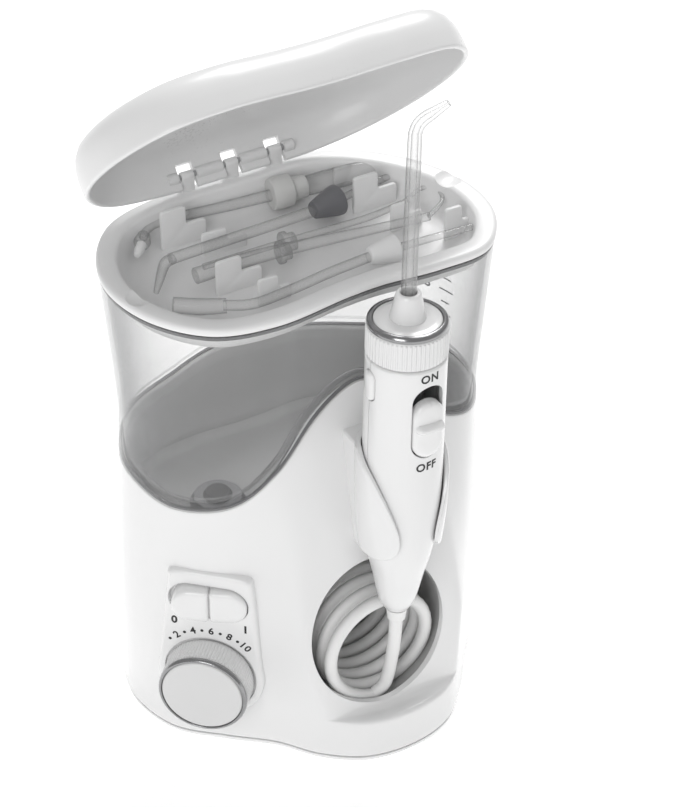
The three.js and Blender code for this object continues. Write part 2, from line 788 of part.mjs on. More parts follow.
node(
  bench,
  "pump_body",
  join(
    bar([rodX, motorY, pumpLow], [rodX, motorY, pumpHigh], 9, 9, 24),
    chest,
  ).subtract(bar([rodX, motorY, pumpLow + 3], [rodX, motorY, pumpHigh + 3], pistonRadius + fine, pistonRadius + fine, 24))
    .subtract(bar([chestX, valveSpots[0], pumpLow + 12], [chestX, valveSpots[0], pumpLow + 30], 3.4, 3.4, 20))
    .subtract(bar([chestX, valveSpots[1], pumpLow + 12], [chestX, valveSpots[1], pumpLow + 30], 3.4, 3.4, 20)),
  greyPlastic(),
);
["inlet_valve", "outlet_valve"].forEach((name, i) => {
  const z = pumpLow + 12 + fine;
  const disc = join(
    bar([chestX, valveSpots[i], z], [chestX, valveSpots[i], z + 1.8], 2.9, 2.9, 20),
    bar([chestX, valveSpots[i], z + 1], [chestX, valveSpots[i], z + 5], 1.1, 1.1, 12),
  );
  node(bench, name, disc, rubber());
});
node(
  bench,
  "valve_cover",
  cut(
    block(15, 18, 2.4, chestX, motorY, pumpLow + 24 + fine + 1.2),
    bar([chestX, motorY, pumpLow + 20], [chestX, motorY, pumpLow + 30], 1.2, 1.2, 12),
  ),
  steel(),
);
// The frame that holds motor and crank bearing, standing on the base plate.
const frameLow = plateTop + fine;
const frameBlock = join(
  block(motorLength - 8, 2 * motorRadius + 6, motorZ - motorRadius - frameLow + 6, (motorLeft + motorRight) / 2, motorY,
    (frameLow + motorZ - motorRadius + 6) / 2),
  block(5, 2 * motorRadius + 6, crankZ + 6 - frameLow, bearingX - 1.5, motorY, (crankZ + 6 + frameLow) / 2),
);
node(
  bench,
  "pump_frame",
  cut(
    frameBlock,
    bar([motorLeft - 5, motorY, motorZ], [bearingX + 10, motorY, motorZ], motorRadius + fine, motorRadius + fine, 24),
    bar([bearingX - 8, motorY, crankZ], [bearingX + 8, motorY, crankZ], 3 + fine, 3 + fine, 20),
  ),
  steel(),
);

// Water line from the tank's port to the pump, and a cup seal that the tank's valve presses on.
const sealTop = deckTop + 1;
node(
  bench,
  "tank_seal",
  cut(
    bar([tankPort.x, tankPort.y, deckUnder - 5], [tankPort.x, tankPort.y, sealTop - 0.9], tankPort.radius, tankPort.radius, 24),
    bar([tankPort.x, tankPort.y, deckUnder - 2], [tankPort.x, tankPort.y, sealTop + 1], tankPort.radius - 2, tankPort.radius - 2, 24),
    bar([tankPort.x, tankPort.y, deckUnder - 8], [tankPort.x, tankPort.y, sealTop + 1], 1.5, 1.5, 12),
  ),
  rubber(),
);
const inletLine = [
  [tankPort.x, tankPort.y, deckUnder - 5.4],
  [tankPort.x, tankPort.y, deckUnder - 9],
  [tankPort.x + 4, tankPort.y + 1, 68],
  [tankPort.x + 14, -2, 62],
  [-10, -7, 60],
  [4, -9, 56],
  [chestX - 12, -8, 44],
  [chestX - 2, -5, 28],
  [chestX, 0, 21.4],
  [chestX, motorY - 9.4, 20],
];
node(bench, "inlet_line", solid(tube(inletLine, 5, 30, 8)), rubber());

// ---- tank ---------------------------------------------------------------------------------
const tankFloor = deckTop + 1;
const tankTop = trayTop - trayFlange - gap;
const nest = wall + gap + 0.3; // how far the nested part of the tank is inside the base's outer wall
const aboveBase = cut(bodyLoft([100, waistHeight, snoutTop, tankTop], 0), underWave(0));
// The nested part goes straight down from the waist, so that it can be lifted out.
const nestInset = nest + waist - taper(snoutTop);
const nestedLoft = (stack) => loft(stack.map(([z, extra]) => section(snoutTop, nestInset + extra).map((p) => p.setZ(z))));
const nested = nestedLoft([[tankFloor, 5], [tankFloor + 3, 2], [snoutTop, 0]]);
const cavityLow = nestedLoft([
  [tankFloor + tankWall, tankWall + 5], [tankFloor + tankWall + 3, tankWall + 2], [tankTop + 2, tankWall],
]);
const cavityHigh = cut(bodyLoft([100, waistHeight, snoutTop, tankTop + 2], tankWall), underWave(tankWall + 1));
const valveHole = 5;
const tank = cut(
  join(aboveBase, nested),
  cavityLow,
  cavityHigh,
  bar([tankPort.x, tankPort.y, tankFloor - 3], [tankPort.x, tankPort.y, tankFloor + 6], valveHole, valveHole, 24),
);
node(bench, "reservoir", tank, clear());

// Rubber valve in the tank's floor, with its poppet and spring.
const tankInside = tankFloor + tankWall;
const valveSeat = cut(
  join(
    bar([tankPort.x, tankPort.y, tankInside + fine], [tankPort.x, tankPort.y, tankInside + 3], 10.5, 9, 24),
    bar([tankPort.x, tankPort.y, tankFloor + 0.2], [tankPort.x, tankPort.y, tankInside + 1], valveHole - fine, valveHole - fine, 24),
  ),
  bar([tankPort.x, tankPort.y, tankFloor - 2], [tankPort.x, tankPort.y, tankInside + 5], 2.6, 2.6, 20),
);
node(bench, "tank_valve_seat", valveSeat, rubber());
const poppet = join(
  bar([tankPort.x, tankPort.y, tankInside + 3.3], [tankPort.x, tankPort.y, tankInside + 5], 5.5, 4.5, 24),
  bar([tankPort.x, tankPort.y, tankFloor - 0.5], [tankPort.x, tankPort.y, tankInside + 4], 1.6, 1.6, 12),
);
node(bench, "tank_valve_poppet", poppet, rubber());

// ---- tray ---------------------------------------------------------------------------------
const basinInset = tankWall + 1.6;
const basinFloor = trayTop - trayDepth;
const flangeBottom = trayTop - trayFlange;
const trayBlank = join(
  bodyLoft([flangeBottom, trayTop], 0),
  loft([section(basinFloor - trayWall, basinInset + 3), section(basinFloor + 4, basinInset), section(trayTop - 1, basinInset)]),
);
const basin = loft([
  section(basinFloor, trayFlangeWidth + 3),
  section(basinFloor + 4, trayFlangeWidth + 0.6),
  section(trayTop - 1.2, trayFlangeWidth),
  section(trayTop + 0.01, trayFlangeWidth - 1),
]);
const dips = [[-64.5, -9, 35], [66, 3, 35]].map(([x, y, turn]) =>
  solid(new THREE.SphereGeometry(1, 20, 12).scale(8.5, 6, 5).rotateZ(degrees(turn)).translate(x, y, trayTop + 1.4)),
);
// Upright holder plates with a low step at the right: [centre x, y, width, height, width of the step].
const holders = [
  [-29, 28.5, 18, 16, 8], [-18.5, 17.2, 17, 10, 7], [-25, -6.5, 17, 14, 8], [-18, -19, 12, 10.5, 5],
  [43, 12.6, 18, 15, 8], [30, 34.4, 14, 9, 6], [46, -2, 13, 11, 6], [60, -16, 11, 13, 5],
];
const holderThickness = 1.6;
const plates = holders.flatMap(([x, y, width, height, step]) => {
  const foot = height * 0.5 + 1;
  return [
    block(width - step, holderThickness, height + 1, x - step / 2, y, basinFloor + (height - 1) / 2),
    block(width, holderThickness, foot, x, y, basinFloor - 1 + foot / 2),
  ];
});
const hingeY = halfDepth - hingeSetIn;
const hingeZ = trayTop + hingeRise;
const postXs = [-1, 0, 1].map((k) => hingeCentreX + k * hingePitch);
const posts = postXs.map((x) =>
  cut(
    join(
      block(postWidth, 3.6, hingeRise + 1, x, hingeY, trayTop + hingeRise / 2 - 0.5),
      bar([x - postWidth / 2, hingeY, hingeZ], [x + postWidth / 2, hingeY, hingeZ], 1.8, 1.8, 20),
    ),
    bar([x - postWidth, hingeY, hingeZ], [x + postWidth, hingeY, hingeZ], hingePin + 0.25, hingePin + 0.25, 16),
  ),
);
node(bench, "tip_tray", join(cut(trayBlank, basin, ...dips), ...plates, ...posts), white());
node(
  bench,
  "hinge_pin",
  bar([postXs[0] - postWidth / 2 - 4, hingeY, hingeZ], [postXs[2] + postWidth / 2 + 4, hingeY, hingeZ], hingePin, hingePin, 16),
  steel(),
);

// ---- lid ----------------------------------------------------------------------------------
const lidBottom = trayTop + 0.6;
const lidTop = lidBottom + lidHeight;
const lidSection = (z, inset) => section(trayTop, inset).map((p) => p.setZ(z));
const lidShell = cut(
  loft([
    lidSection(lidBottom, 0), lidSection(lidBottom + 9, 0.6), lidSection(lidBottom + 15, 2.4),
    lidSection(lidBottom + 18.4, 6), lidSection(lidTop, 14),
  ]),
  loft([
    lidSection(lidBottom - 1, lidWall), lidSection(lidBottom + 9, lidWall + 0.6), lidSection(lidBottom + 14, lidWall + 2.4),
    lidSection(lidTop - lidWall - 0.8, lidWall + 6), lidSection(lidTop - lidWall, lidWall + 14),
  ]),
);
const knuckles = [[-0.5, hingePitch - postWidth - 2], [0.5, hingePitch - postWidth - 2]].map(([k, w]) => {
  const x = hingeCentreX + k * hingePitch;
  return join(
    bar([x - w / 2, hingeY, hingeZ], [x + w / 2, hingeY, hingeZ], 2.1, 2.1, 20),
    block(w, 1.4, 4, x, hingeY + 0.5, hingeZ + 1),
  );
});
const endBarrels = [postXs[0] - postWidth / 2 - 3, postXs[2] + postWidth / 2 + 3].map((x) =>
  bar([x - 2, hingeY, hingeZ], [x + 2, hingeY, hingeZ], 2.1, 2.1, 20),
);
const slots = postXs.map((x) => block(postWidth + 1.4, 8, hingeRise + 6, x, hingeY + 0.6, hingeZ + 0.5 - hingeRise / 2 + 1));
const lidClosed = cut(
  join(lidShell, ...knuckles, ...endBarrels),
  ...slots,
  bar([-halfWidth / 2, hingeY, hingeZ], [halfWidth / 2, hingeY, hingeZ], hingePin + 0.25, hingePin + 0.25, 16),
);
const lidFrame = new THREE.Group();
lidFrame.position.set(0, hingeY, hingeZ);
lidFrame.rotation.x = -degrees(lidOpen);
bench.add(lidFrame);
node(lidFrame, "lid", geometryOf(lidClosed).translate(0, -hingeY, -hingeZ), white());

// ---- tips stored in the tray --------------------------------------------------------------
const shelf = basinFloor + 6.5;
const tipPieces = {
  brush_tip_shaft: [
    join(
      bar([13, 29.4, shelf], [40, 26, shelf], 3.6, 3.1, 20),
      bar([14, 29.4, shelf], [-34, 33, shelf], 2, 1.6, 16),
      bar([-33.5, 33, shelf], [-42.5, 29.5, shelf], 1.6, 1.6, 14),
      bar([-42, 29.8, shelf], [-46, 27, shelf], 3, 2.7, 16),
    ),
    clear,
  ],
  pick_tip_shaft: [
    join(
      bar([46, 18.6, shelf], [21, 14.6, shelf], 1.4, 2, 14),
      bar([21, 14.8, shelf], [-43, 12.6, shelf], 1.8, 1.8, 14),
      bar([-43, 12.6, shelf], [-52, 2, shelf - 2], 1.8, 1.2, 14),
    ),
    clear,
  ],
  scraper_tip: [
    join(
      bar([-38, -0.2, shelf], [-31, 0, shelf], 3.4, 3.4, 16),
      bar([-33, 0, shelf], [32, 1.8, shelf], 2.3, 2.3, 16),
      bar([-4, 0.6, shelf], [-1.5, 0.6, shelf], 4.6, 4.6, 18),
      bar([2.5, 0.8, shelf], [4, 0.8, shelf], 4.2, 4.2, 18),
    ),
    clear,
  ],
  spare_jet_shaft: [
    join(
      bar([56, -20, shelf], [24, -20.4, shelf], 1.4, 1.6, 14),
      bar([25, -20.5, shelf], [-6, -26, shelf], 2.2, 2, 14),
      bar([-6, -26, shelf], [-40, -22, shelf], 2, 2, 14),
      bar([-38, -22.4, shelf], [-52, -16, shelf], 2.9, 2.9, 14),
    ),
    clear,
  ],
};
for (const [name, [body, material]] of Object.entries(tipPieces)) {
  node(bench, name, body, material());
}

// ---- handle -------------------------------------------------------------------------------
const handle = new THREE.Group();
handle.applyMatrix4(handleFrame);
bench.add(handle);
const hollow = turned([
  [0, 4], [4, 4], [10.6 - handleWall, 17.8], [11.5 - handleWall, 26], [14.6 - handleWall, 48.8],
  [handleRadius - handleWall, 70], [handleRadius - handleWall, neckHeight - 3], [0, neckHeight - 3],
]);
const slotLength = 30;
const slotWidth = 13;
const slotHeight = 90.5;
const slotCut = (grow) => solid(slabXZ(stadium(slotWidth + grow, slotLength + grow, 1.4, slotHeight), -30, 0));
const ejectHeight = 102.5;
const ejectCut = solid(
  slabXZ(stadium(6.6, 13, 0, ejectHeight), -30, 0).rotateZ(-Math.PI / 2),
);
const neckBore = bar([0, 0, neckHeight - 8], [0, 0, neckHeight + 4], 4.4, 4.4, 24);
const footBore = bar([0, 0, -3], [0, 0, 10], 2.9, 2.9, 20);
const shell = cut(solid(handleBlank(0)), solid(hollow), neckBore, footBore);
const halfSpace = (side) => block(80, 40, 300, 0, side * (20 + fine / 2), 60);
node(handle, "handle_front_shell", cut(shell.intersect(halfSpace(-1)), slotCut(0), ejectCut), white());
node(handle, "handle_back_shell", cut(shell.intersect(halfSpace(1)), ejectCut), white());

const sliderTravel = 6;
const sliderLength = slotLength - sliderTravel - 1;
const sliderCentre = slotHeight - sliderTravel / 2;
const sliderShape = stadium(slotWidth - 0.9, sliderLength, 1.4, sliderCentre);
const sliderBody = join(
  solid(slabXZ(sliderShape, -handleRadius - 1.2, -handleRadius + 3.2)),
  block(slotWidth - 2.5, 2.4, 2.2, 1.4, -handleRadius - 1.9, sliderCentre + 1),
);
node(handle, "pause_slider", sliderBody, white());
node(
  handle,
  "eject_button",
  solid(slabXZ(stadium(5.8, 12.2, 0, ejectHeight), -handleRadius - 1.2, -handleRadius + 4).rotateZ(-Math.PI / 2)),
  white(),
);

// The collar turns with the tip: knurled band, metal ring, white face, tip socket and tip.
const collarLow = neckHeight + 0.5;
const collarHigh = collarLow + 11.5;
const collarRadius = handleRadius + 0.15;
node(
  handle,
  "spin_collar",
  join(
    solid(knurledBarrel(collarRadius, 0.35, collarLow, collarHigh)),
    bar([0, 0, neckHeight - 6], [0, 0, collarLow + 1], 4, 4, 24),
    bar([0, 0, collarHigh - 0.5], [0, 0, collarHigh + 1.8], 12, 11.4, 36),
  ).subtract(bar([0, 0, neckHeight - 7], [0, 0, collarHigh + 8], 2.4, 2.4, 20)),
  white(),
);
const collarRing = [
  [12.4, collarHigh + fine], [collarRadius, collarHigh + fine], [collarRadius - 0.1, collarHigh + 1.4],
  [collarRadius - 0.8, collarHigh + 2.2], [12.4, collarHigh + 2.2], [12.4, collarHigh + fine],
];
node(handle, "collar_ring", solid(turned(collarRing, 48)), chrome());
const socketLow = collarHigh + 1.8 + fine;
const socketHigh = socketLow + 10;
const shaftTop = 202;
node(
  handle,
  "tip_socket",
  cut(
    solid(turned([[0, socketLow], [6.4, socketLow], [6.2, socketLow + 2], [4.5, socketHigh - 0.8], [3.8, socketHigh], [0, socketHigh]], 32)),
    bar([0, 0, socketLow - 1], [0, 0, socketHigh + 1], 2.4 + fine, 2.4 + fine, 20),
  ),
  white(),
);
const tipRadius = 2.3;
node(
  handle,
  "jet_tip",
  join(
    bar([0, 0, neckHeight - 4], [0, 0, socketHigh + 1], 1.9, 1.9, 20),
    bar([0, 0, socketHigh + 0.4], [0, 0, shaftTop], 2.7, tipRadius, 20),
    solid(new THREE.SphereGeometry(tipRadius, 16, 10).translate(0, 0, shaftTop)),
    bar([0, 0, shaftTop], [12.6, 0, shaftTop + 5.2], tipRadius, 1.3, 16),
  ),
  clear(),
);
node(
  handle,
  "hose_nipple",
  cut(
    solid(turned([[0, -4.6], [3.4, -4.6], [3.9, -0.3], [2.6, -0.3], [2.6, 7], [0, 7]], 24)),
    bar([0, 0, -6], [0, 0, 9], 1.3, 1.3, 12),
  ),
  hoseWhite(),
);
node(
  handle,
  "water_valve",
  cut(
    join(
      bar([0, 0, 60], [0, 0, neckHeight - 9], 6.5, 6.5, 24),
      bar([0, 0, 9], [0, 0, 61], 2.4, 2.4, 14),
    ),
    bar([0, 0, 8], [0, 0, 120], 1.2, 1.2, 12),
  ),
  greyPlastic(),
);

// ---- stand the model on z = 0 with its box centred ----------------------------------------
flosser.updateMatrixWorld(true);
const box = new THREE.Box3().setFromObject(flosser, true);
bench.position.set(-(box.min.x + box.max.x) / 2, -(box.min.y + box.max.y) / 2, -box.min.z);

export default flosser;
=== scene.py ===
# %% [markdown]
# A countertop water flosser with its lid open
#
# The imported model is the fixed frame: every piece below is made in metres in its axes, so a piece
# that is built at the size the frame gives needs no fitting. Most of this appliance is thin moulded
# plastic, so the surfaces are stacked from horizontal sections, which is how such a body is drawn.

# %% Load the frame
import math

import bmesh
import bpy
import numpy as np
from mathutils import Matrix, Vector


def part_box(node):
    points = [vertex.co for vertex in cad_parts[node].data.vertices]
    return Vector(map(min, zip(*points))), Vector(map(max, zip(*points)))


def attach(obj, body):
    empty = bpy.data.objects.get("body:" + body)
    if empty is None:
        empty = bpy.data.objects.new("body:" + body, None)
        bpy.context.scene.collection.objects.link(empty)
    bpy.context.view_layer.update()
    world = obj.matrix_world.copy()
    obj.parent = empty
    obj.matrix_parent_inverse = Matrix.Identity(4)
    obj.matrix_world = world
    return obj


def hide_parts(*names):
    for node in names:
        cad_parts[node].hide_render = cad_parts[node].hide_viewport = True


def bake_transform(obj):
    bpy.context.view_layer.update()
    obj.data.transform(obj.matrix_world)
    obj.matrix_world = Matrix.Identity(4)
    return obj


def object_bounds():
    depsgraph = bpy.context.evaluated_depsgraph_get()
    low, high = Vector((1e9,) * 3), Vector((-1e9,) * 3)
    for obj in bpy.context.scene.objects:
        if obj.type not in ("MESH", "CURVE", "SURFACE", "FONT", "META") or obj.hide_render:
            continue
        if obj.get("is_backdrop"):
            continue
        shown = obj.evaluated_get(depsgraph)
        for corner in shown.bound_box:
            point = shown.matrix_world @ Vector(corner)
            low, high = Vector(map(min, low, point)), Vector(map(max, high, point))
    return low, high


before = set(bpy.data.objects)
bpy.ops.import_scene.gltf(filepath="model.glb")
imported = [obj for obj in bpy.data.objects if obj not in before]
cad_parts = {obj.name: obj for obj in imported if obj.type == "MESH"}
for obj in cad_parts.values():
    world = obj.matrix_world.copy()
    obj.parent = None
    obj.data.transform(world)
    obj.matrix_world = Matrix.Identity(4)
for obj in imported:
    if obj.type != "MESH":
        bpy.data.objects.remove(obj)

cad_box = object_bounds()
scene = bpy.context.scene
mm = 0.001


def box_mm(node):
    """The lowest and highest corner of a CAD node in millimetres."""
    low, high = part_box(node)
    return np.array(low) / mm, np.array(high) / mm


# %% [markdown]
# The body's outline is one closed wavy line seen from above. Two such lines, the rim's and the
# foot's, are blended by height: that makes the snout in front, which holds the hose and fades into
# the tank. A lofted curve could do it too, but polar form is shorter, because each height then needs
# only a radius per direction.

# %% Outlines of rim and foot
RIM = [
    (30, 44.8), (0, 45), (-30, 44.8), (-54, 37.4), (-68, 19.8), (-72.5, 0), (-67, -22.5), (-52, -39.6),
    (-30, -45), (0, -41.8), (14, -41.2), (36, -43), (57, -41), (70, -25.2), (72.5, -5.9), (65.6, 15.8),
    (50, 34.6),
]
FOOT = [
    (30, 43.2), (0, 43.4), (-30, 43.2), (-52, 36), (-66.3, 18), (-70.5, 0), (-65, -21.6), (-50, -36.5),
    (-35.5, -48.8), (-24, -63), (-8.7, -73.1), (10.9, -75), (27.5, -69.8), (40.6, -57), (53.6, -39.6),
    (66, -23.4), (69.5, -4), (63.4, 15.8), (49, 33),
]
AROUND = 256
angles = np.linspace(-math.pi, math.pi, AROUND, endpoint=False)


def closed_curve(points, each=24):
    """A smooth closed line through the points, centripetal so that it never loops."""
    p = np.array(points, float)
    out = []
    for i in range(len(p)):
        p0, p1, p2, p3 = p[i - 1], p[i], p[(i + 1) % len(p)], p[(i + 2) % len(p)]
        d0, d1, d2 = (np.linalg.norm(b - a) ** 0.5 for a, b in ((p0, p1), (p1, p2), (p2, p3)))
        m1 = (p1 - p0) / d0 - (p2 - p0) / (d0 + d1) + (p2 - p1) / d1
        m2 = (p2 - p1) / d1 - (p3 - p1) / (d1 + d2) + (p3 - p2) / d2
        m1, m2 = m1 * d1, m2 * d1
        for t in np.linspace(0, 1, each, endpoint=False):
            out.append(
                (2 * t**3 - 3 * t**2 + 1) * p1 + (t**3 - 2 * t**2 + t) * m1
                + (3 * t**2 - 2 * t**3) * p2 + (t**3 - t**2) * m2
            )
    return np.array(out)


def polar_radius(points):
    """Distance from the centre line by direction."""
    line = closed_curve(points)
    a, r = np.arctan2(line[:, 1], line[:, 0]), np.hypot(line[:, 0], line[:, 1])
    order = np.argsort(a)
    return np.interp(angles, a[order], r[order], period=2 * math.pi)


rim_radius, foot_radius = polar_radius(RIM), polar_radius(FOOT)
rim_line = rim_radius[:, None] * np.c_[np.cos(angles), np.sin(angles)]
tray_low, tray_high = box_mm("tip_tray")
centre = (tray_low + tray_high)[:2] / 2 - (rim_line.min(0) + rim_line.max(0)) / 2
print("centre line at", centre.round(2), "mm")

# %% [markdown]
# A section is a ring of points at one height, or along a wavy edge at one height for each direction.
# The body narrows a little from the rim down to a waist, and the snout grows out of it below. Walls
# come from moving a section inwards along its own normals, which keeps them the same all round.

# %% Sections of the body
RIM_TOP, WAIST_Z, WAIST_IN = 196.0, 132.0, 5.5
SNOUT_FULL, SNOUT_TOP = 47.0, 152.0


def taper(z):
    """How far the body is drawn in at a height."""
    return WAIST_IN * np.clip((RIM_TOP - z) / (RIM_TOP - WAIST_Z), 0, 1.02)


def body_radius(z):
    """Radius of the body by direction at a height, or at one height for each direction."""
    share = np.clip((SNOUT_TOP - z) / (SNOUT_TOP - SNOUT_FULL), 0, 1)
    share = share * share * (3 - 2 * share) * 0.4 + share * 0.6
    upper = rim_radius - taper(z)
    return upper + (foot_radius - upper) * share


def ring(radius, z):
    """One closed section as points in millimetres about the centre line."""
    return np.c_[radius * np.cos(angles), radius * np.sin(angles), np.broadcast_to(z, radius.shape)]


def inset(section, distance):
    """The section moved inwards along its own normals."""
    ahead, behind = np.roll(section, -2, 0), np.roll(section, 2, 0)
    along = (ahead - behind)[:, :2]
    along /= np.linalg.norm(along, axis=1)[:, None]
    moved = section.copy()
    moved[:, 0] -= along[:, 1] * distance
    moved[:, 1] += along[:, 0] * distance
    return moved


print("radius at the rim", rim_radius.min().round(1), "to", rim_radius.max().round(1), "mm")

# %% [markdown]
# Nearly every piece is rows of points turned into a closed mesh. Neighbouring rows are joined by
# quads, and the ends are capped or joined to each other, so no seam is left open. The last helper
# puts a finished piece on the body it moves with and hides the CAD nodes that it stands for.

# %% From rows of points to a piece
def to_frame(points):
    """Millimetres about the centre line to metres in the frame."""
    p = np.array(points, float).reshape(-1, 3).copy()
    p[:, :2] += centre
    return p * mm


def new_object(name, mesh, finish, sharp=32):
    piece = bpy.data.objects.new(name, mesh)
    scene.collection.objects.link(piece)
    if finish is not None:
        mesh.materials.clear()
        mesh.materials.append(finish)
    mesh.shade_smooth()
    mesh.set_sharp_from_angle(angle=math.radians(sharp))
    return piece


def from_rows(name, rows, finish, ends="caps", sharp=32, frame_points=to_frame):
    """Rows of the same number of points, closed by flat ends or joined last to first."""
    rows = [np.array(r, float) for r in rows]
    count, deep = len(rows[0]), len(rows)
    points = np.concatenate(rows)
    faces = []
    for k in range(deep - 1 if ends == "caps" else deep):
        a, b = k * count, ((k + 1) % deep) * count
        for i in range(count):
            j = (i + 1) % count
            faces.append((a + i, a + j, b + j, b + i))
    if ends == "caps":
        faces.append(tuple(range(count))[::-1])
        faces.append(tuple(range((deep - 1) * count, deep * count)))
    mesh = bpy.data.meshes.new(name)
    mesh.from_pydata(frame_points(points).tolist(), [], faces)
    solid = bmesh.new()
    solid.from_mesh(mesh)
    if solid.calc_volume(signed=True) < 0:
        bmesh.ops.reverse_faces(solid, faces=solid.faces)
    solid.to_mesh(mesh)
    solid.free()
    return new_object(name, mesh, finish, sharp)


def fitted(piece, material_slot, body, *nodes):
    """A finished piece: the body it rides on and the CAD nodes it replaces; its slot is not used."""
    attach(piece, body)
    if nodes:
        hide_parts(*nodes)
    print(piece.name, "has", len(piece.data.polygons), "faces and rides on", body)
    return piece


# %% [markdown]
# The stage is a plain white sweep under broad soft light, as for a catalogue picture. The camera
# has a long lens and looks down at the front left corner. Two large softboxes are enough, because
# glossy white plastic shows its form by wide, weak highlights and not by hard ones.

# %% Camera and light
WORLD_STRENGTH = 0.48
white_world = bpy.data.worlds.new("white studio")
white_world.use_nodes = True
background = white_world.node_tree.nodes["Background"]
background.inputs["Color"].default_value = (1, 1, 1, 1)
background.inputs["Strength"].default_value = WORLD_STRENGTH
scene.world = white_world
scene.view_settings.view_transform = "Standard"

CAMERA_TURN, CAMERA_RISE = math.radians(-29.5), math.radians(37)
CAMERA_AWAY, LENS_LENGTH = 1.2214, 142.57
towards_camera = Vector((
    math.sin(CAMERA_TURN) * math.cos(CAMERA_RISE),
    -math.cos(CAMERA_TURN) * math.cos(CAMERA_RISE),
    math.sin(CAMERA_RISE),
))
aim = Vector(to_frame((29.5, 15.7, 98))[0])
lens = bpy.data.cameras.new("camera")
lens.lens = LENS_LENGTH
camera = bpy.data.objects.new("camera", lens)
camera.location = aim + towards_camera * CAMERA_AWAY
camera.rotation_euler = (-towards_camera).to_track_quat("-Z", "Y").to_euler()
scene.collection.objects.link(camera)
scene.camera = camera
LIT_POINT = Vector((0, 0, 0.12))


def softbox(name, place, size, power):
    """A large soft lamp that points at the middle of the body."""
    lamp = bpy.data.lights.new(name, "AREA")
    lamp.shape = "RECTANGLE"
    lamp.size, lamp.size_y = size
    lamp.energy = power
    holder = bpy.data.objects.new(name, lamp)
    holder.location = place
    holder.rotation_euler = (LIT_POINT - Vector(place)).to_track_quat("-Z", "Y").to_euler()
    scene.collection.objects.link(holder)


softbox("overhead softbox", (0.45, 0.55, 1.0), (0.5, 0.5), 8.0)
softbox("front softbox", (-0.8, -0.7, 0.7), (0.5, 0.6), 4.0)
print("camera at", [round(v, 3) for v in camera.location])

# %% [markdown]
# Shader maths reads best as plain sums, so one small class wraps a socket and turns +, * and **
# into Math nodes, also where the number comes first.

# %% A socket that can stand in a sum
class Signal:
    """A socket of a finish that can stand in a sum."""

    def __init__(self, finish, socket):
        self.finish, self.socket = finish, socket

    def maths(self, operation, first, second):
        return self.finish.node("ShaderNodeMath", {"operation": operation}, {0: first, 1: second})

    def __add__(self, other):
        return self.maths("ADD", self, other)

    def __radd__(self, other):
        return self.maths("ADD", other, self)

    def __mul__(self, other):
        return self.maths("MULTIPLY", self, other)

    def __rmul__(self, other):
        return self.maths("MULTIPLY", other, self)

    def __pow__(self, other):
        return self.maths("POWER", self, other)

    def __rpow__(self, other):
        return self.maths("POWER", other, self)


# %% [markdown]
# A finish is one Principled shader and the nodes that feed it. Every node comes from one method, and
# the patterns read the object's own coordinates, so that they stay put when a piece moves. Edges are
# rounded by the shader where a real bevel would cost many faces.

# %% A finish and its nodes
class Finish:
    """A node material whose shader is one Principled BSDF."""

    def __init__(self, name, **constants):
        self.material = bpy.data.materials.new(name)
        self.material.use_nodes = True
        self.tree = self.material.node_tree
        self.shader = self.tree.nodes["Principled BSDF"]
        self.place = self.node("ShaderNodeTexCoord", output="Object")
        self.feed(**constants)

    def plug(self, value, socket):
        """Links a signal to a socket, or writes a plain value on it."""
        if isinstance(value, Signal):
            self.tree.links.new(value.socket, socket)
        else:
            socket.default_value = value

    def node(self, kind, settings=None, inputs=None, output=0):
        """Any node: its settings first, then the values or links of its sockets."""
        made = self.tree.nodes.new(kind)
        for key, value in (settings or {}).items():
            setattr(made, key, value)
        for key, value in (inputs or {}).items():
            self.plug(value, made.inputs[key])
        return Signal(self, made.outputs[output])

    def feed(self, **sockets):
        """Values or links for the shader's own sockets."""
        for key, value in sockets.items():
            self.plug(value, self.shader.inputs[key.replace("_", " ")])

    def speckle(self, per_metre, detail=3.0):
        """Noise with a number of lumps in a metre."""
        inputs = {"Vector": self.place, "Scale": per_metre, "Detail": detail}
        return self.node("ShaderNodeTexNoise", None, inputs)

    def shade(self, amount, dark, light):
        """A colour between two, by an amount from 0 to 1."""
        ends = {0: amount, 6: (*dark, 1), 7: (*light, 1)}
        return self.node("ShaderNodeMix", {"data_type": "RGBA"}, ends, output=2)

    def relief(self, height, depth, edge=None):
        """A bump of a real depth in metres, over edges that are rounded by the shader."""
        settings = {"Height": height, "Strength": 1.0, "Distance": depth}
        if edge is not None:
            settings["Normal"] = self.node("ShaderNodeBevel", {"samples": 4}, {"Radius": edge})
        return self.node("ShaderNodeBump", None, settings)


# %% [markdown]
# The real object has three kinds of finish: moulded plastic with a faint orange peel, clear plastic
# that greys towards its edges, and plated rings. Each kind is one recipe with the colours as inputs.
# Clear plastic could be refracting glass, but walls this thin hardly bend light. An alpha that grows
# where the wall is seen edge on looks much the same, and it renders quickly.

# %% Recipes for plastic, clear plastic and metal
def moulded(name, dark, light, rough, edge=0.0005, grain=0.000012, coat=0.0):
    """Injection-moulded plastic: faint flow in the colour, fine orange peel, and soft edges."""
    finish = Finish(name, Coat_Weight=coat, Coat_Roughness=0.08)
    flow, peel = finish.speckle(28.0), finish.speckle(900.0, 2.0)
    finish.feed(
        Base_Color=finish.shade(flow, dark, light),
        Roughness=rough + flow * 0.06 + peel * 0.04,
        Normal=finish.relief(peel, grain, edge),
    )
    return finish.material


def see_through(name, tint, least, most, rough):
    """Clear plastic: nearly nothing face on, greyer and more mirror-like where it is seen edge on."""
    finish = Finish(name, Coat_Weight=0.6, Coat_Roughness=0.03)
    facing = finish.node("ShaderNodeLayerWeight", None, {"Blend": 0.5}, output="Facing")
    haze = finish.speckle(60.0)
    finish.feed(
        Base_Color=finish.shade(facing**0.8, (0.75, 0.75, 0.75), tint),
        Roughness=rough + haze * 0.04,
        Alpha=least + facing**1.7 * (most - least) + haze * 0.02,
    )
    return finish.material


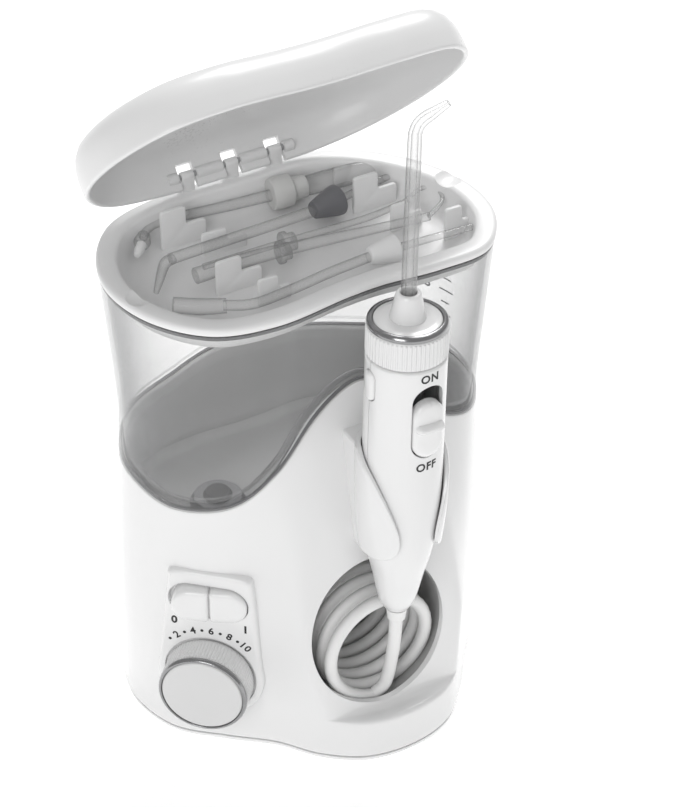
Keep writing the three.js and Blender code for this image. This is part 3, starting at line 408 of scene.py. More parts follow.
def plated(name, dark, light, rough):
    """Bright plating or bare metal with a fine grain."""
    finish = Finish(name, Metallic=1.0)
    brushed = finish.speckle(240.0)
    finish.feed(
        Base_Color=finish.shade(brushed, dark, light),
        Roughness=rough + brushed * 0.12,
        Normal=finish.relief(brushed, 0.000004, 0.0002),
    )
    return finish.material


# %% [markdown]
# The white parts differ a little in gloss and in how bright they look, so each has values of its own
# close to the next. Plain pairs of greys are enough, because the noise between them is what keeps a
# moulded face from looking flat. Print and hose need no soft edge: a film has none, a tube is round.

# %% The finishes
def grey(value, blue=0.0):
    """A neutral colour, a little bluer or yellower in its last part."""
    return value, value, value + blue


glossy_white = moulded("glossy white plastic", grey(0.80), grey(0.83), 0.2, coat=0.35)
tray_white = moulded("tray plastic", grey(0.80), grey(0.84), 0.26)
lid_white = moulded("lid plastic", grey(0.76), grey(0.80), 0.24)
satin_grey = moulded("satin cap plastic", grey(0.66), grey(0.70), 0.42)
# The hose well is white plastic; this mid-grey is painted shade of the deep recess behind the mouth.
bay_painted_shade = moulded("bay plastic with painted shade", grey(0.40), grey(0.46, -0.005), 0.5)
hose_white = moulded("hose plastic", grey(0.80, -0.005), grey(0.85, -0.005), 0.36, edge=None)
grey_plastic = moulded("grey plastic", grey(0.17, 0.005), grey(0.22, 0.005), 0.5)
dark_collar = moulded("dark collar plastic", grey(0.13, 0.01), grey(0.18, 0.01), 0.35)
light_collar = moulded("light collar plastic", grey(0.58, -0.01), grey(0.66, -0.01), 0.35)
dark_rubber = moulded("dark rubber", grey(0.035, 0.002), grey(0.06, 0.002), 0.72, grain=0.00003)
print_black = moulded("black print", grey(0.012, 0.001), grey(0.02), 0.45, edge=None)
print_grey = moulded("grey print", grey(0.16, 0.01), grey(0.2, 0.01), 0.45, edge=None)
# Painted shade: a dark ring stands in for the dark that refraction gathers at the tank's thick edges.
painted_edge_shade = moulded("painted shade at clear edge", grey(0.10, 0.005), grey(0.16, 0.005), 0.2)
tank_clear = see_through("clear tank plastic", (0.12, 0.125, 0.13), 0.05, 0.8, 0.04)
tip_clear = see_through("clear tip plastic", (0.08, 0.082, 0.085), 0.12, 0.95, 0.03)
grey_metal = plated("grey plated metal", grey(0.27, 0.005), grey(0.36, 0.005), 0.14)
steel = plated("plain steel", grey(0.42, 0.01), grey(0.5, 0.01), 0.26)
brass = plated("cut brass", (0.55, 0.42, 0.17), (0.66, 0.52, 0.24), 0.3)
print("finishes", len(bpy.data.materials))

# %% [markdown]
# The floor is a sheet that is lit a little from within, so that it stays as white as the backdrop
# and the body keeps only a soft shadow. It is stage dressing and no piece of the object.

# %% Floor
FLOOR_HALF = 6
floor_finish = Finish("white sweep", Roughness=0.7, Emission_Color=(1, 1, 1, 1), Emission_Strength=0.38)
floor_grain = floor_finish.speckle(2.0)
floor_finish.feed(Base_Color=floor_finish.shade(floor_grain, grey(0.93), grey(0.95)))
floor_corners = [(x * FLOOR_HALF, y * FLOOR_HALF, 0) for x, y in ((-1, -1), (1, -1), (1, 1), (-1, 1))]
floor_mesh = bpy.data.meshes.new("floor")
floor_mesh.from_pydata(floor_corners, [], [(0, 1, 2, 3)])
floor_mesh.materials.append(floor_finish.material)
floor = bpy.data.objects.new("floor", floor_mesh)
scene.collection.objects.link(floor)
floor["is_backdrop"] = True
print("floor", 2 * FLOOR_HALF, "m wide")

# %% [markdown]
# The hose comes straight out of the handle's foot, drops into the bay and goes on there as the
# front turn of a neat coil, whose tail rises to the grommet in the bay's wall. A bevelled curve
# would draw it too, but rings of points that are turned as little as possible never twist or pinch.

# %% Tubes along a path
def tube_rows(path, radius, sides=20):
    """Rings along a path, turned as little as possible; radius may be a list."""
    p = np.array(path, float)
    radii = np.broadcast_to(radius, len(p))
    tangents = np.gradient(p, axis=0)
    tangents /= np.linalg.norm(tangents, axis=1)[:, None]
    side = np.cross(tangents[0], [0.31, 0.87, 0.38])
    rows = []
    for point, along, r in zip(p, tangents, radii):
        side = side - along * (side @ along)
        side /= np.linalg.norm(side)
        other = np.cross(along, side)
        a = np.linspace(0, 2 * math.pi, sides, endpoint=False)[:, None]
        rows.append(point + r * (np.cos(a) * side + np.sin(a) * other))
    return rows


def smooth_path(points, each=10):
    """A smooth open line through the points."""
    p = np.array(points, float)
    p = np.vstack([2 * p[0] - p[1], p, 2 * p[-1] - p[-2]])
    out = []
    for i in range(1, len(p) - 2):
        for t in np.linspace(0, 1, each, endpoint=False):
            out.append(
                0.5 * (2 * p[i] + (p[i + 1] - p[i - 1]) * t
                       + (2 * p[i - 1] - 5 * p[i] + 4 * p[i + 1] - p[i + 2]) * t**2
                       + (3 * p[i] - p[i - 1] - 3 * p[i + 1] + p[i + 2]) * t**3)
            )
    out.append(p[-2])
    return np.array(out)


def measure(path):
    return float(np.linalg.norm(np.diff(path, axis=0), axis=1).sum())


# %% [markdown]
# The coil is a helix worked out by a loop from the place that the frame gives it. It is one tube on
# the real object, made here as two: the coil, which rides on the base and stays in the bay, and the
# drop up to the handle.

# %% The hose
HOSE = 5.0
TURNS, TURN_STEPS = 5, 40
WIND, WOUND = -1.75, TURNS + 0.22
TAIL_BEND = 9
coil_low, coil_high = box_mm("hose_coil")
coil_low[:2] -= centre
coil_high[:2] -= centre
coil_x, coil_z = (coil_low[0] + coil_high[0]) / 2, (coil_low[2] + coil_high[2]) / 2
coil_r = (coil_high[0] - coil_low[0]) / 2 - HOSE / 2
start_y = coil_low[1] + HOSE / 2 - HOSE - 0.4
tail_low, tail_high = box_mm("hose_tail")
tail_y = (tail_low[1] + tail_high[1]) / 2 - centre[1]
wind = [
    (
        coil_x + coil_r * math.cos(a),
        start_y + (tail_y - start_y) * (WIND - a) / (2 * math.pi * WOUND),
        coil_z + coil_r * math.sin(a),
    )
    for a in np.linspace(WIND, WIND - 2 * math.pi * WOUND, TURN_STEPS * TURNS)
]
tail_foot, tail_top = ((coil_x - coil_r, tail_y, z) for z in (coil_z + TAIL_BEND, tail_high[2]))
coil_route = np.array(wind[::-1])
coil_route = np.vstack([smooth_path([tail_top, tail_foot, coil_route[0]], 6)[:-1], coil_route])
DROP = [
    (7.9, -63.0, 58.8), (7.7, -62.8, 52), (7.5, -62, 44), (7.3, -60.6, 36), (6.7, -59.9, 30),
    (4.9, -59.8, 24.8),
]
drop_path = smooth_path([*DROP, wind[0]], 8)
print("coil radius", coil_r, "from", round(start_y, 1), "to", round(tail_y, 1))

coil_hose = from_rows("coiled_hose", tube_rows(coil_route, HOSE / 2, 18), hose_white)
fitted(coil_hose, "hose", "base", "hose_coil", "hose_tail")
drop_hose = from_rows("hose_to_handle", tube_rows(drop_path, HOSE / 2, 24), hose_white)
to_frame((7.5, -61.6, 30))[0]
to_frame((8, -63, 56))[0]
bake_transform(drop_hose)
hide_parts("hose_drop")
to_frame(coil_route[0])[0]
to_frame(coil_route)
to_frame(drop_path[-1])[0]
to_frame(drop_path[::-1])
print("coil", round(measure(coil_route)), "mm, drop", round(measure(drop_path)), "mm")

# %% [markdown]
# The base is one moulding. Its outside goes up from the foot; in front it steps back over the lip
# below the hose's mouth and then leans back behind the handle. Its upper edge is a wave that dips
# low on the left, worked out here as a height for each direction.

# %% Leaning recess and wavy edge
LIP_Z = 22.0
RECESS = np.array([(-66, 22), (-52, 80), (-44, 118), (-37.5, 151), (-31.5, 182)], float)
FRONT_LEAST = -0.05
FAR_AWAY = 1e3


def recess_y(z):
    """How far forward the leaning plane stands at a height."""
    return np.interp(z, RECESS[:, 1], RECESS[:, 0])


def recess_radius(z):
    """Radius of the leaning plane by direction, and far away where it isn't in front."""
    front = np.sin(angles)
    return np.where(front < FRONT_LEAST, recess_y(z) / np.minimum(front, FRONT_LEAST), FAR_AWAY)


def soft_least(a, b, blend=2.5):
    """The smaller of two radii, rounded where they cross."""
    d = np.clip((a - b) / blend, -1, 1)
    return np.where(np.abs(a - b) >= blend, np.minimum(a, b), (a + b) / 2 - blend * (1 + d * d) / 4)


WAVE = [
    (-180, 112), (-160, 109.5), (-140, 114), (-125, 126), (-110, 142), (-93, 149.5), (-76, 151), (-60, 142),
    (-47, 127), (-34, 121), (-12, 120), (15, 121), (42, 119), (75, 122), (105, 124), (130, 117), (155, 113.5),
]
wave_points = np.array([(a + 360 * k, z) for k in (-1, 0, 1) for a, z in WAVE], float)
wave_line = smooth_path(wave_points, 16)
wave = np.interp(np.degrees(angles), wave_line[:, 0], wave_line[:, 1])
print("wave from", wave.min().round(1), "to", wave.max().round(1), "mm")

# %% [markdown]
# Cutting the recess out with a boolean would leave a hard line. Instead each direction gets its own
# path up, through the lip's two corners, and the path is averaged a little, so the corners come out
# round. The wall is made by going up the outside, over a round rim and down the inside.

# %% Base shell
BODY_WALL, FOOT_ROUND = 2.4, 1.6
LIP_FIRST, LIP_LAST = 8, 27
housing_low = box_mm("base_housing")[0][2]


def level(z):
    return np.full(AROUND, z)


def housing_rows():
    """Rows from the foot to just under the wave."""
    corner_out = body_radius(LIP_Z)
    corner_in = soft_least(body_radius(LIP_Z + 1), recess_radius(LIP_Z))
    up = [(body_radius(z), level(z)) for z in np.linspace(housing_low + 4, LIP_Z - 5, 6)]
    up += [(corner_out, level(LIP_Z - 5 + 5 * t)) for t in np.linspace(0, 1, 8)]
    for t in np.linspace(0, 1, 9)[1:]:
        up.append((corner_out + (corner_in - corner_out) * t, level(LIP_Z + 0.4 * t)))
    leaning = [level(LIP_Z + 0.4 + 8 * t) for t in np.linspace(0, 1, 10)[1:]]
    leaning += [LIP_Z + 8.4 + (wave - 0.6 - LIP_Z - 8.4) * t for t in np.linspace(0, 1, 60)[1:]]
    up += [(soft_least(body_radius(z), recess_radius(z)), z) for z in leaning]
    r, z = (np.array(column) for column in zip(*up))
    first, last = LIP_FIRST, LIP_LAST
    for _ in range(3):
        for value in (r, z):
            value[first:last] = (
                value[first - 1 : last - 1] + value[first:last] + value[first + 1 : last + 1]
            ) / 3
    foot = ring(body_radius(housing_low), housing_low)
    round_foot = []
    for t in np.linspace(0, math.pi / 2, 6):
        edge = inset(foot, FOOT_ROUND * (1 - math.sin(t)))
        edge[:, 2] = housing_low + FOOT_ROUND * (1 - math.cos(t))
        round_foot.append(edge)
    return round_foot + [ring(a, b) for a, b in zip(r, z)]


def walled(rows, wall, steps=7):
    """Outside rows, a round rim at the top, then the same rows inset on the way down."""
    over = []
    for t in np.linspace(0, math.pi, steps + 2)[1:-1]:
        edge = inset(rows[-1], wall / 2 * (1 - math.cos(t)))
        edge[:, 2] += wall / 2 * math.sin(t)
        over.append(edge)
    return [*rows, *over, *[inset(r, wall) for r in reversed(rows)]]


shell_rows = walled(housing_rows(), BODY_WALL)
housing = from_rows("base_shell", shell_rows, glossy_white, ends="wrap", sharp=60)
print("wall", BODY_WALL, "mm in", len(shell_rows), "rows")

# %% [markdown]
# The oval mouth goes through the wall at a lean, so it is the one thing here that is best cut by a
# boolean. The modifier is made real at once and its cutter removed, so that nothing is left live.

# %% Mouth and deck
def applied(piece):
    """The piece with its modifiers made real."""
    evaluated = piece.evaluated_get(bpy.context.evaluated_depsgraph_get())
    mesh = bpy.data.meshes.new_from_object(evaluated)
    piece.modifiers.clear()
    piece.data = mesh
    return piece


def carve(piece, *cutters, operation="DIFFERENCE", sharp=32):
    """Cuts the cutters out of a piece, or keeps what they share, and removes them."""
    for cutter in cutters:
        change = piece.modifiers.new("cut", "BOOLEAN")
        change.operation = operation
        change.solver = "EXACT"
        change.object = cutter
        applied(piece)
        bpy.data.objects.remove(cutter)
    piece.data.shade_smooth()
    piece.data.set_sharp_from_angle(angle=math.radians(sharp))
    return piece


def joined(name, first, *others):
    """Several meshes as one piece."""
    parts = [first, *others]
    whole = bmesh.new()
    for part in parts:
        whole.from_mesh(part.data)
    for part in others:
        bpy.data.objects.remove(part)
    whole.to_mesh(first.data)
    whole.free()
    first.name = name
    return first


def extruded(name, outline, low, high, finish, frame_points=to_frame):
    """A flat outline [(x, z), ...] given thickness along y."""
    u, v = np.array(outline, float).T
    rows = [np.c_[u, np.full(len(u), y), v] for y in (high, low)]
    return from_rows(name, rows, finish, sharp=30, frame_points=frame_points)


def cutter(outline, low, high, frame_points=to_frame):
    """A block to cut with, which needs no finish."""
    return extruded("cutter", outline, low, high, None, frame_points)


def oval(x, z, a, b):
    """An outline of 120 points round a middle."""
    t = np.linspace(0, 2 * math.pi, 120, endpoint=False)
    return np.c_[x + a * np.cos(t), z + b * np.sin(t)]


MOUTH_X, MOUTH_Z, MOUTH_HALF_WIDTH, MOUTH_HALF_HEIGHT = 2.7, 52.2, 27.7, 28.8
carve(housing, cutter(oval(MOUTH_X, MOUTH_Z, MOUTH_HALF_WIDTH, MOUTH_HALF_HEIGHT), -90, -48), sharp=60)
deck_rows = [inset(ring(body_radius(150.0), z), d) for z, d in ((85, 3), (87, 3), (87.5, 3.5))]
housing = joined("base_shell", housing, from_rows("deck", deck_rows, glossy_white))
fitted(housing, "white_gloss", "base", "base_housing")

# %% [markdown]
# The underside is closed by a plate that is screwed in from below, a little inside the foot's
# outline. It could be a flat sheet with a bevel, but four of the body's own sections keep its edge
# even with the foot all round.

# %% Bottom plate
plate_low, plate_high = box_mm("base_plate")
plate_steps = [
    (plate_low[2], 3.0), (plate_low[2] + 0.5, 1.4), (plate_low[2] + 1.4, 0.7), (plate_high[2], 0.5),
]
plate_rows = [inset(ring(body_radius(5.0), z), d) for z, d in plate_steps]
fitted(from_rows("bottom_plate", plate_rows, glossy_white, sharp=50), "white_gloss", "base", "base_plate")

# %% [markdown]
# Behind the mouth lies an oval well that holds the coil. It is a cup turned on its side: shares of
# its oval against depth, with rounded corners, and its front edge held back behind the recess, so
# that only the mouth's own rim is seen. It is coloured darker than its white plastic, as painted shade.

# %% Hose well
def rounded(profile, radius, steps=5):
    """A profile whose inner corners are rounded off."""
    p = [np.array(q, float) for q in profile]
    out = [tuple(p[0])]
    for before, here, after in zip(p, p[1:], p[2:]):
        u, v = before - here, after - here
        lu, lv = np.linalg.norm(u), np.linalg.norm(v)
        r = min(radius, 0.45 * lu, 0.45 * lv)
        a, b = here + u / lu * r, here + v / lv * r
        for t in np.linspace(0, 1, steps):
            out.append(tuple((1 - t) ** 2 * a + 2 * t * (1 - t) * here + t * t * b))
    out.append(tuple(p[-1]))
    return out


BAY_HALF_WIDTH, BAY_HALF_HEIGHT = 30.0, 32.8
BAY_FRONT, BAY_FLOOR, BAY_INSIDE, BAY_BEHIND = -62, 1.8, 0.94, 2.6
bay_low, bay_high = box_mm("hose_bay")
bay_x, bay_z = (bay_low[0] + bay_high[0]) / 2 - centre[0], (bay_low[2] + bay_high[2]) / 2
bay_back = bay_high[1] - centre[1]
bay_profile = rounded([
    (0.001, bay_back), (1, bay_back), (1, bay_back - 20), (1, BAY_FRONT), (BAY_INSIDE, BAY_FRONT),
    (BAY_INSIDE, bay_back - BAY_FLOOR), (0.001, bay_back - BAY_FLOOR),
], 3)
bay_rows = []
for share, y in bay_profile:
    x, z = oval(bay_x, bay_z, BAY_HALF_WIDTH * share, BAY_HALF_HEIGHT * share).T
    bay_rows.append(np.c_[x, np.maximum(y, recess_y(z) + BAY_BEHIND), z])
# Painted shade: the well is drawn in mid-grey, darker than the white plastic it is made of.
fitted(from_rows("hose_well", bay_rows, bay_painted_shade, sharp=50), "white_satin", "base", "hose_bay")

# %% [markdown]
# The tank is one clear moulding with a 2 mm wall. Its lower part is straight and nests in the base;
# just above the wave it steps out, so that its outside carries on the base's surface. Real walls on
# both sides are worth their faces, because a clear piece shows each of them.

# %% Tank
TANK_WALL = 2.0
TANK_FLOOR, TANK_TOP = (corner[2] for corner in box_mm("reservoir"))
nest = 3.2 + WAIST_IN - taper(SNOUT_TOP)
straight = ring(rim_radius - taper(SNOUT_TOP), 0.0)


def tank_rows():
    rows = []
    for t in np.linspace(0, math.pi / 2, 9):
        edge = inset(straight, nest + 2 + 5 * (1 - math.sin(t)))
        edge[:, 2] = TANK_FLOOR + 5 * (1 - math.cos(t))
        rows.append(edge)
    for u in np.linspace(0, 1, 16)[1:]:
        edge = inset(straight, nest + 2 * (1 - u))
        edge[:, 2] = TANK_FLOOR + 5 + (wave - 2.6 - TANK_FLOOR - 5) * u
        rows.append(edge)
    outer = ring(body_radius(wave + 0.4), wave + 0.4)
    under = ring(body_radius(wave + 0.4), wave - 0.9)
    inner = rows[-1]
    for u in np.linspace(0, 1, 7)[1:]:
        edge = inner + (under - inner) * u
        edge[:, 2] = inner[:, 2] + (wave + 0.2 - inner[:, 2]) * math.sin(u * math.pi / 2)
        rows.append(edge)
    rows.append(outer)
    for u in np.linspace(0, 1, 40)[1:]:
        z = wave + 0.4 + (TANK_TOP - wave - 0.4) * u
        rows.append(ring(body_radius(z), z))
    return rows


LIFTS = [(0, 9, 2.0), (9, 24, 1.0), (24, 32, 3.2)]


def tank_shell():
    """Outside rows up to the top, and the inside on the way down, closed at the floor on both sides."""
    outside = tank_rows()
    inside = [inset(r, TANK_WALL) for r in outside]
    for first, last, lift in LIFTS:
        for row in inside[first:last]:
            row[:, 2] += lift
    return from_rows("tank", [*outside, *reversed(inside)], tank_clear, sharp=50)


fitted(tank_shell(), "clear", "tank", "reservoir")

# %% [markdown]
# The top edge and the wave of the real tank look nearly black, because a thick clear edge gathers
# the dark around it. Refraction would give that at a high price in render time, so a thin dark ring
# is set inside the wall instead, as painted shade.

# %% Dark edges of the tank
def edge_band(name, low, high):
    """A ring of painted shade inside the wall between two heights."""
    corners = ((low, 0.35), (high, 0.35), (high, 1.5), (low, 1.5))
    rows = [inset(ring(body_radius(z), z), d) for z, d in corners]
    fitted(from_rows(name, rows, painted_edge_shade, ends="wrap", sharp=60), "clear", "tank")


edge_band("tank_top_edge", level(TANK_TOP - 1.6), level(TANK_TOP - 0.3))
edge_band("tank_wave_edge", wave + 0.7, wave + 1.5)

# %% [markdown]
# The tray closes the tank: a flat rim with rounded edges and a shallow basin, with a finger dip at
# each end of the rim. One list of distances inwards and heights draws its whole section, and two
# egg-shaped lumps press the dips in, which leaves soft hollows that no bevel would give.

# %% Tray
TRAY_FLOOR, BASIN_EDGE = 184.0, 17
rim_section = ring(rim_radius, 0.0)


def tray_rows():
    """Out from under the basin, round the rim, and in over the basin's floor."""
    stack = [
        (26, TRAY_FLOOR - 1.8), (9, TRAY_FLOOR - 1.8), (6, TRAY_FLOOR + 0.5), (4.2, TRAY_FLOOR + 5),
        (4.0, 192.2), (0.9, 192.6), (0.15, 193.1), (0, 193.8), (0, 194.8), (0.35, 195.5), (1.0, 195.9),
        (1.8, 196.0), (6.2, 195.9), (7.2, 195.5), (7.8, 194.6), (8.4, 190), (9.2, 187), (10.6, 185),
        (13, 184.1), (16, TRAY_FLOOR), (26, TRAY_FLOOR),
    ]
    rows = []
    for distance, z in stack:
        if distance < BASIN_EDGE:
            row = inset(rim_section, distance)
        else:
            row = rim_section * [1 - distance / 90, 1 - distance / 58, 1]
        row[:, 2] = z
        rows.append(row)
    return rows


def lathe(profile, sides=96):
    """Rows of a turned piece about +Z from (radius, height) pairs."""
    a = np.linspace(0, 2 * math.pi, sides, endpoint=False)
    return [np.c_[max(r, 1e-4) * np.cos(a), max(r, 1e-4) * np.sin(a), np.full(sides, z)] for r, z in profile]


def lump(x, y, z, size, turn):
    """A smooth egg, used to press dips into the rim."""
    a = np.linspace(0, math.pi, 24)
    c, s = math.cos(turn), math.sin(turn)
    rows = [r * size for r in lathe([(math.sin(t), -math.cos(t)) for t in a], 48)]
    rows = [np.c_[x + r[:, 0] * c - r[:, 1] * s, y + r[:, 0] * s + r[:, 1] * c, z + r[:, 2]] for r in rows]
    return from_rows("lump", rows, None)


tray = from_rows("tray", tray_rows(), tray_white, sharp=50)
left_dip = lump(-64.0, -8.5, 200.0, (9.5, 6.6, 6.0), 0.6)
right_dip = lump(66.2, 2.5, 200.0, (9.0, 6.6, 6.0), 0.5)
carve(tray, left_dip, right_dip, sharp=50)
print("tray", len(tray.data.polygons), "faces")

# %% [markdown]
# Stepped holder plates stand in the basin for the spare tips to clip into, and three posts on the
# back rim carry the lid's pin. They are flat outlines given thickness, with a bevel for their edges,
# and one list of places serves them all.

# %% Holder plates and hinge posts
HOLDERS = [
    (-29, 28.5, 18, 16, 8), (-18.5, 17, 18, 10, 8), (-25, -6.5, 18, 14, 8), (-17.5, -19, 13, 10.5, 5),
    (43, 15.4, 18, 15, 8), (44, 31.5, 18, 10, 8), (46.5, -1.6, 13, 11, 6), (60, -16, 12, 13, 5),
]
HOLDER_HALF, LEDGE_SHARE = 0.8, 0.52
POSTS = [-1.5 + 18 * k for k in (-1, 0, 1)]
POST_R, POST_FOOT, POST_HALF = 1.8, 194.5, 2.5
hinge_low, hinge_high = box_mm("hinge_pin")
hinge_y, hinge_z = (hinge_low[1] + hinge_high[1]) / 2 - centre[1], (hinge_low[2] + hinge_high[2]) / 2


def softened(piece, width, segments=2):
    """A bevel on the sharp edges."""
    bevel = piece.modifiers.new("soft edges", "BEVEL")
    bevel.width = width * mm
    bevel.segments = segments
    bevel.limit_method = "ANGLE"
    bevel.angle_limit = math.radians(40)
    applied(piece)
    piece.data.shade_smooth()
    piece.data.set_sharp_from_angle(angle=math.radians(50))
    return piece


def holder(x, y, width, height, step):
    """A thin plate with a lower step at its right, corners rounded."""
    left, right, low = x - width / 2, x + width / 2, TRAY_FLOOR - 0.5
    top, ledge = TRAY_FLOOR + height, TRAY_FLOOR + height * LEDGE_SHARE
    outline = [(left, low), (right, low), (right, ledge), (right - step, ledge)]
    outline += [(right - step, top), (left, top)]
    outline = rounded([*outline, outline[0], outline[1]], 1.3, 4)[1:-1]
    return softened(extruded("holder", outline, y - HOLDER_HALF, y + HOLDER_HALF, tray_white), 0.3)


def post(x):
    """A post with a round head about the hinge line."""
    outline = [(hinge_y - POST_R, POST_FOOT), (hinge_y + POST_R, POST_FOOT)]
    for a in np.linspace(0, math.pi, 13):
        outline.append((hinge_y + POST_R * math.cos(a), hinge_z + POST_R * math.sin(a)))
    sides = [np.c_[np.full(len(outline), t), np.array(outline)] for t in (x - POST_HALF, x + POST_HALF)]
    return softened(from_rows("post", sides, tray_white), 0.35)


tray = joined("tray", tray, *[holder(*h) for h in HOLDERS], *[post(x) for x in POSTS])
fitted(tray, "white_gloss", "tray", "tip_tray")

# %% [markdown]
# The lid repeats the rim's outline and is gently domed. It is built closed, which is the easy way to
# make it meet the tray, and then turned open about the hinge line by the angle at which it stands.

# %% Lid shell
LID_LOW, LID_WALL, LID_EDGE = 196.6, 2.2, 1.6
LID_OPEN = math.radians(50)


def opened(points):
    """From the closed lid's place to the open one, in the frame's metres."""
    p = np.array(points, float).reshape(-1, 3).copy()
    y, z = p[:, 1] - hinge_y, p[:, 2] - hinge_z
    c, s = math.cos(LID_OPEN), math.sin(LID_OPEN)
    p[:, 1] = hinge_y + y * c + z * s
    p[:, 2] = hinge_z - y * s + z * c
    return to_frame(p)


def lid_rows(shift):
    """Rows up the side and in over the dome, moved in and down by the wall."""
    side = [(0.0, 0.0), (0.0, 6), (0.5, 10), (1.6, 13.4), (3.6, 16.2), (6.4, 18), (10, 19)]
    rows = []
    for distance, height in side:
        row = inset(rim_section, distance + shift)
        row[:, 2] = LID_LOW + height - shift * min(1.0, height / 12)
        rows.append(row)
    flat = rows[-1]
    for share in (0.93, 0.84, 0.68, 0.48, 0.24):
        row = flat * [share, share, 1]
        row[:, 2] = LID_LOW + 20.2 - 1.2 * share**8 - shift
        rows.append(row)
    return rows


outside, inside = lid_rows(0.0), lid_rows(LID_WALL)
outside[0][:, 2] = inside[0][:, 2] = LID_LOW + LID_EDGE
rim_round = []
for t in np.linspace(0, math.pi, 9):
    edge = inset(rim_section, LID_WALL / 2 + LID_WALL / 2 * math.cos(t))
    edge[:, 2] = LID_LOW + 1.0 - math.sin(t)
    rim_round.append(edge)
lid_skin = [*reversed(inside), *rim_round, *outside]
lid = from_rows("lid_shell", lid_skin, lid_white, sharp=60, frame_points=opened)
print("lid open by", round(math.degrees(LID_OPEN)), "degrees")

# %% [markdown]
# Three slots in the lid's back wall let the hinge posts through, and short barrels between them sit
# on the pin. Both are made on the closed lid's axes and take the same turn as the shell.

# %% Lid slots and hinge barrels
SLOT_HALF, BARREL_R = 3.2, 2.1
BARRELS = [(-10.5, 10.6), (7.5, 10.6), (-25.2, 4), (22.2, 4)]


def lid_slot(x):
    """A cutter for the slot round one post."""
    left, right, low, high = x - SLOT_HALF, x + SLOT_HALF, hinge_z - 8, hinge_z + 4.6
    return cutter([(left, low), (right, low), (right, high), (left, high)], 38, 50, opened)


def barrel(x, width):
    """A short round bar on the hinge line."""
    left, right = x - width / 2, x + width / 2
    rows = lathe([(0, left), (BARREL_R, left), (BARREL_R, right), (0, right)], 32)
    rows = [r[:, [2, 0, 1]] + [0, hinge_y, hinge_z] for r in rows]
    return from_rows("barrel", rows, lid_white, frame_points=opened)


carve(lid, *[lid_slot(x) for x in POSTS], sharp=60)
lid = joined("lid_shell", lid, *[barrel(x, width) for x, width in BARRELS])
fitted(lid, "white_gloss", "lid", "lid")

# %% [markdown]
# Five spare tips lie in the tray. Each is a clear tube with its own collar and end, so one function
# follows a path with a changing radius, and another turns short collars about a line between two
# points.

# %% Helpers for the spare tips
TIP_Z = 190.6


def clear_run(name, points, radii):
    """A clear tube through points in the tray, with radii spread evenly along it."""
    path = smooth_path([(x, y, TIP_Z + dz) for x, y, dz in points], 8)
    sizes = np.interp(np.linspace(0, 1, len(path)), np.linspace(0, 1, len(radii)), radii)
    return from_rows(name, tube_rows(path, sizes, 18), tip_clear)


def collar_on(name, at, towards, soft, profile, finish):
    """A turned collar whose axis runs from one point towards another."""
    a, b = (Vector((x, y, TIP_Z + dz)) for x, y, dz in (at, towards))
    turn = np.array(Vector((0, 0, 1)).rotation_difference(b - a).to_matrix())
    rows = [(r @ turn.T) + np.array(a) for r in lathe(rounded(profile, soft), 48)]
    return from_rows(name, rows, finish)


def clear_tip(name, nodes, *runs):
    """Runs joined into one clear piece that lifts out with the tray."""
    return fitted(joined(name, *runs), "clear", "tray", *nodes)


# %% [markdown]
# The brush tip has a light collar near its foot and a small round brush at its bent end. The pick
# tip has a dark collar and runs out to a thin point. Their bends are listed points.

# %% Brush tip and pick tip
clear_tip(
    "brush_tip", ["brush_tip_shaft"],
    clear_run("shaft", [(12, 31.5, 0), (-10, 33.6, 0), (-32, 36.2, 0), (-40, 34.4, 0), (-44, 30.5, -0.5)],
              [2.3, 2.1, 1.8, 1.6, 1.6]),
    clear_run("foot", [(13, 31.4, 0), (30, 30, 0.4), (52, 28.2, 0.6)], [3.4, 4.0, 3.9]),
    clear_run("head", [(-43.2, 31.6, -0.4), (-45.4, 28.6, -0.6), (-46.4, 27.2, -0.8)], [2.4, 3.2, 2.6]),
)
brush_collar = collar_on(
    "brush_collar", (8.5, 31.8, 0.4), (16, 31.1, 0.5), 0.5,
    [(0, 0), (5.8, 0), (6.2, 3), (5.9, 8), (4.3, 8.6), (4.2, 14), (0, 14)], light_collar,
)
fitted(brush_collar, "white_satin", "tray")
brush_end = collar_on(
    "brush_bristles", (-46, 27.6, -0.7), (-50, 23.4, -1.4), 0.4,
    [(0, 0), (1.9, 0), (1.7, 4.0), (1.2, 6.4), (0, 6.6)], tray_white,
)
fitted(brush_end, "white_satin", "tray")
clear_tip(
    "pick_tip", ["pick_tip_shaft"],
    clear_run("foot", [(60, 23, 0), (42, 19.6, 0), (26, 16.4, 0)], [1.3, 1.3, 1.6]),
    clear_run("shaft", [(20, 15.2, 0), (0, 14.4, 0), (-22, 13.8, 0), (-42, 13.2, 0)], [2.1, 2.1, 2.1, 2.1]),
    clear_run("point", [(-41, 13.2, 0), (-45, 11.6, -0.2), (-50, 5.6, -1.4), (-54, 0.6, -2.6)],
              [2.1, 2.1, 1.6, 1.0]),
)
pick_collar = collar_on(
    "pick_collar", (17, 14.8, 0.4), (26, 16.3, 0.5), 0.4,
    [(0, 0), (3.2, 0), (3.5, 1), (5.6, 9), (5.9, 11.4), (5.2, 12), (0, 12)], dark_collar,
)
fitted(pick_collar, "grey_plastic", "tray")

# %% [markdown]
# The scraper tip is clear throughout, with two small collars on its two long rods. The spare jet tip
# has a white collar, and a thin looped tip lies at the right end. The helpers above make them all.

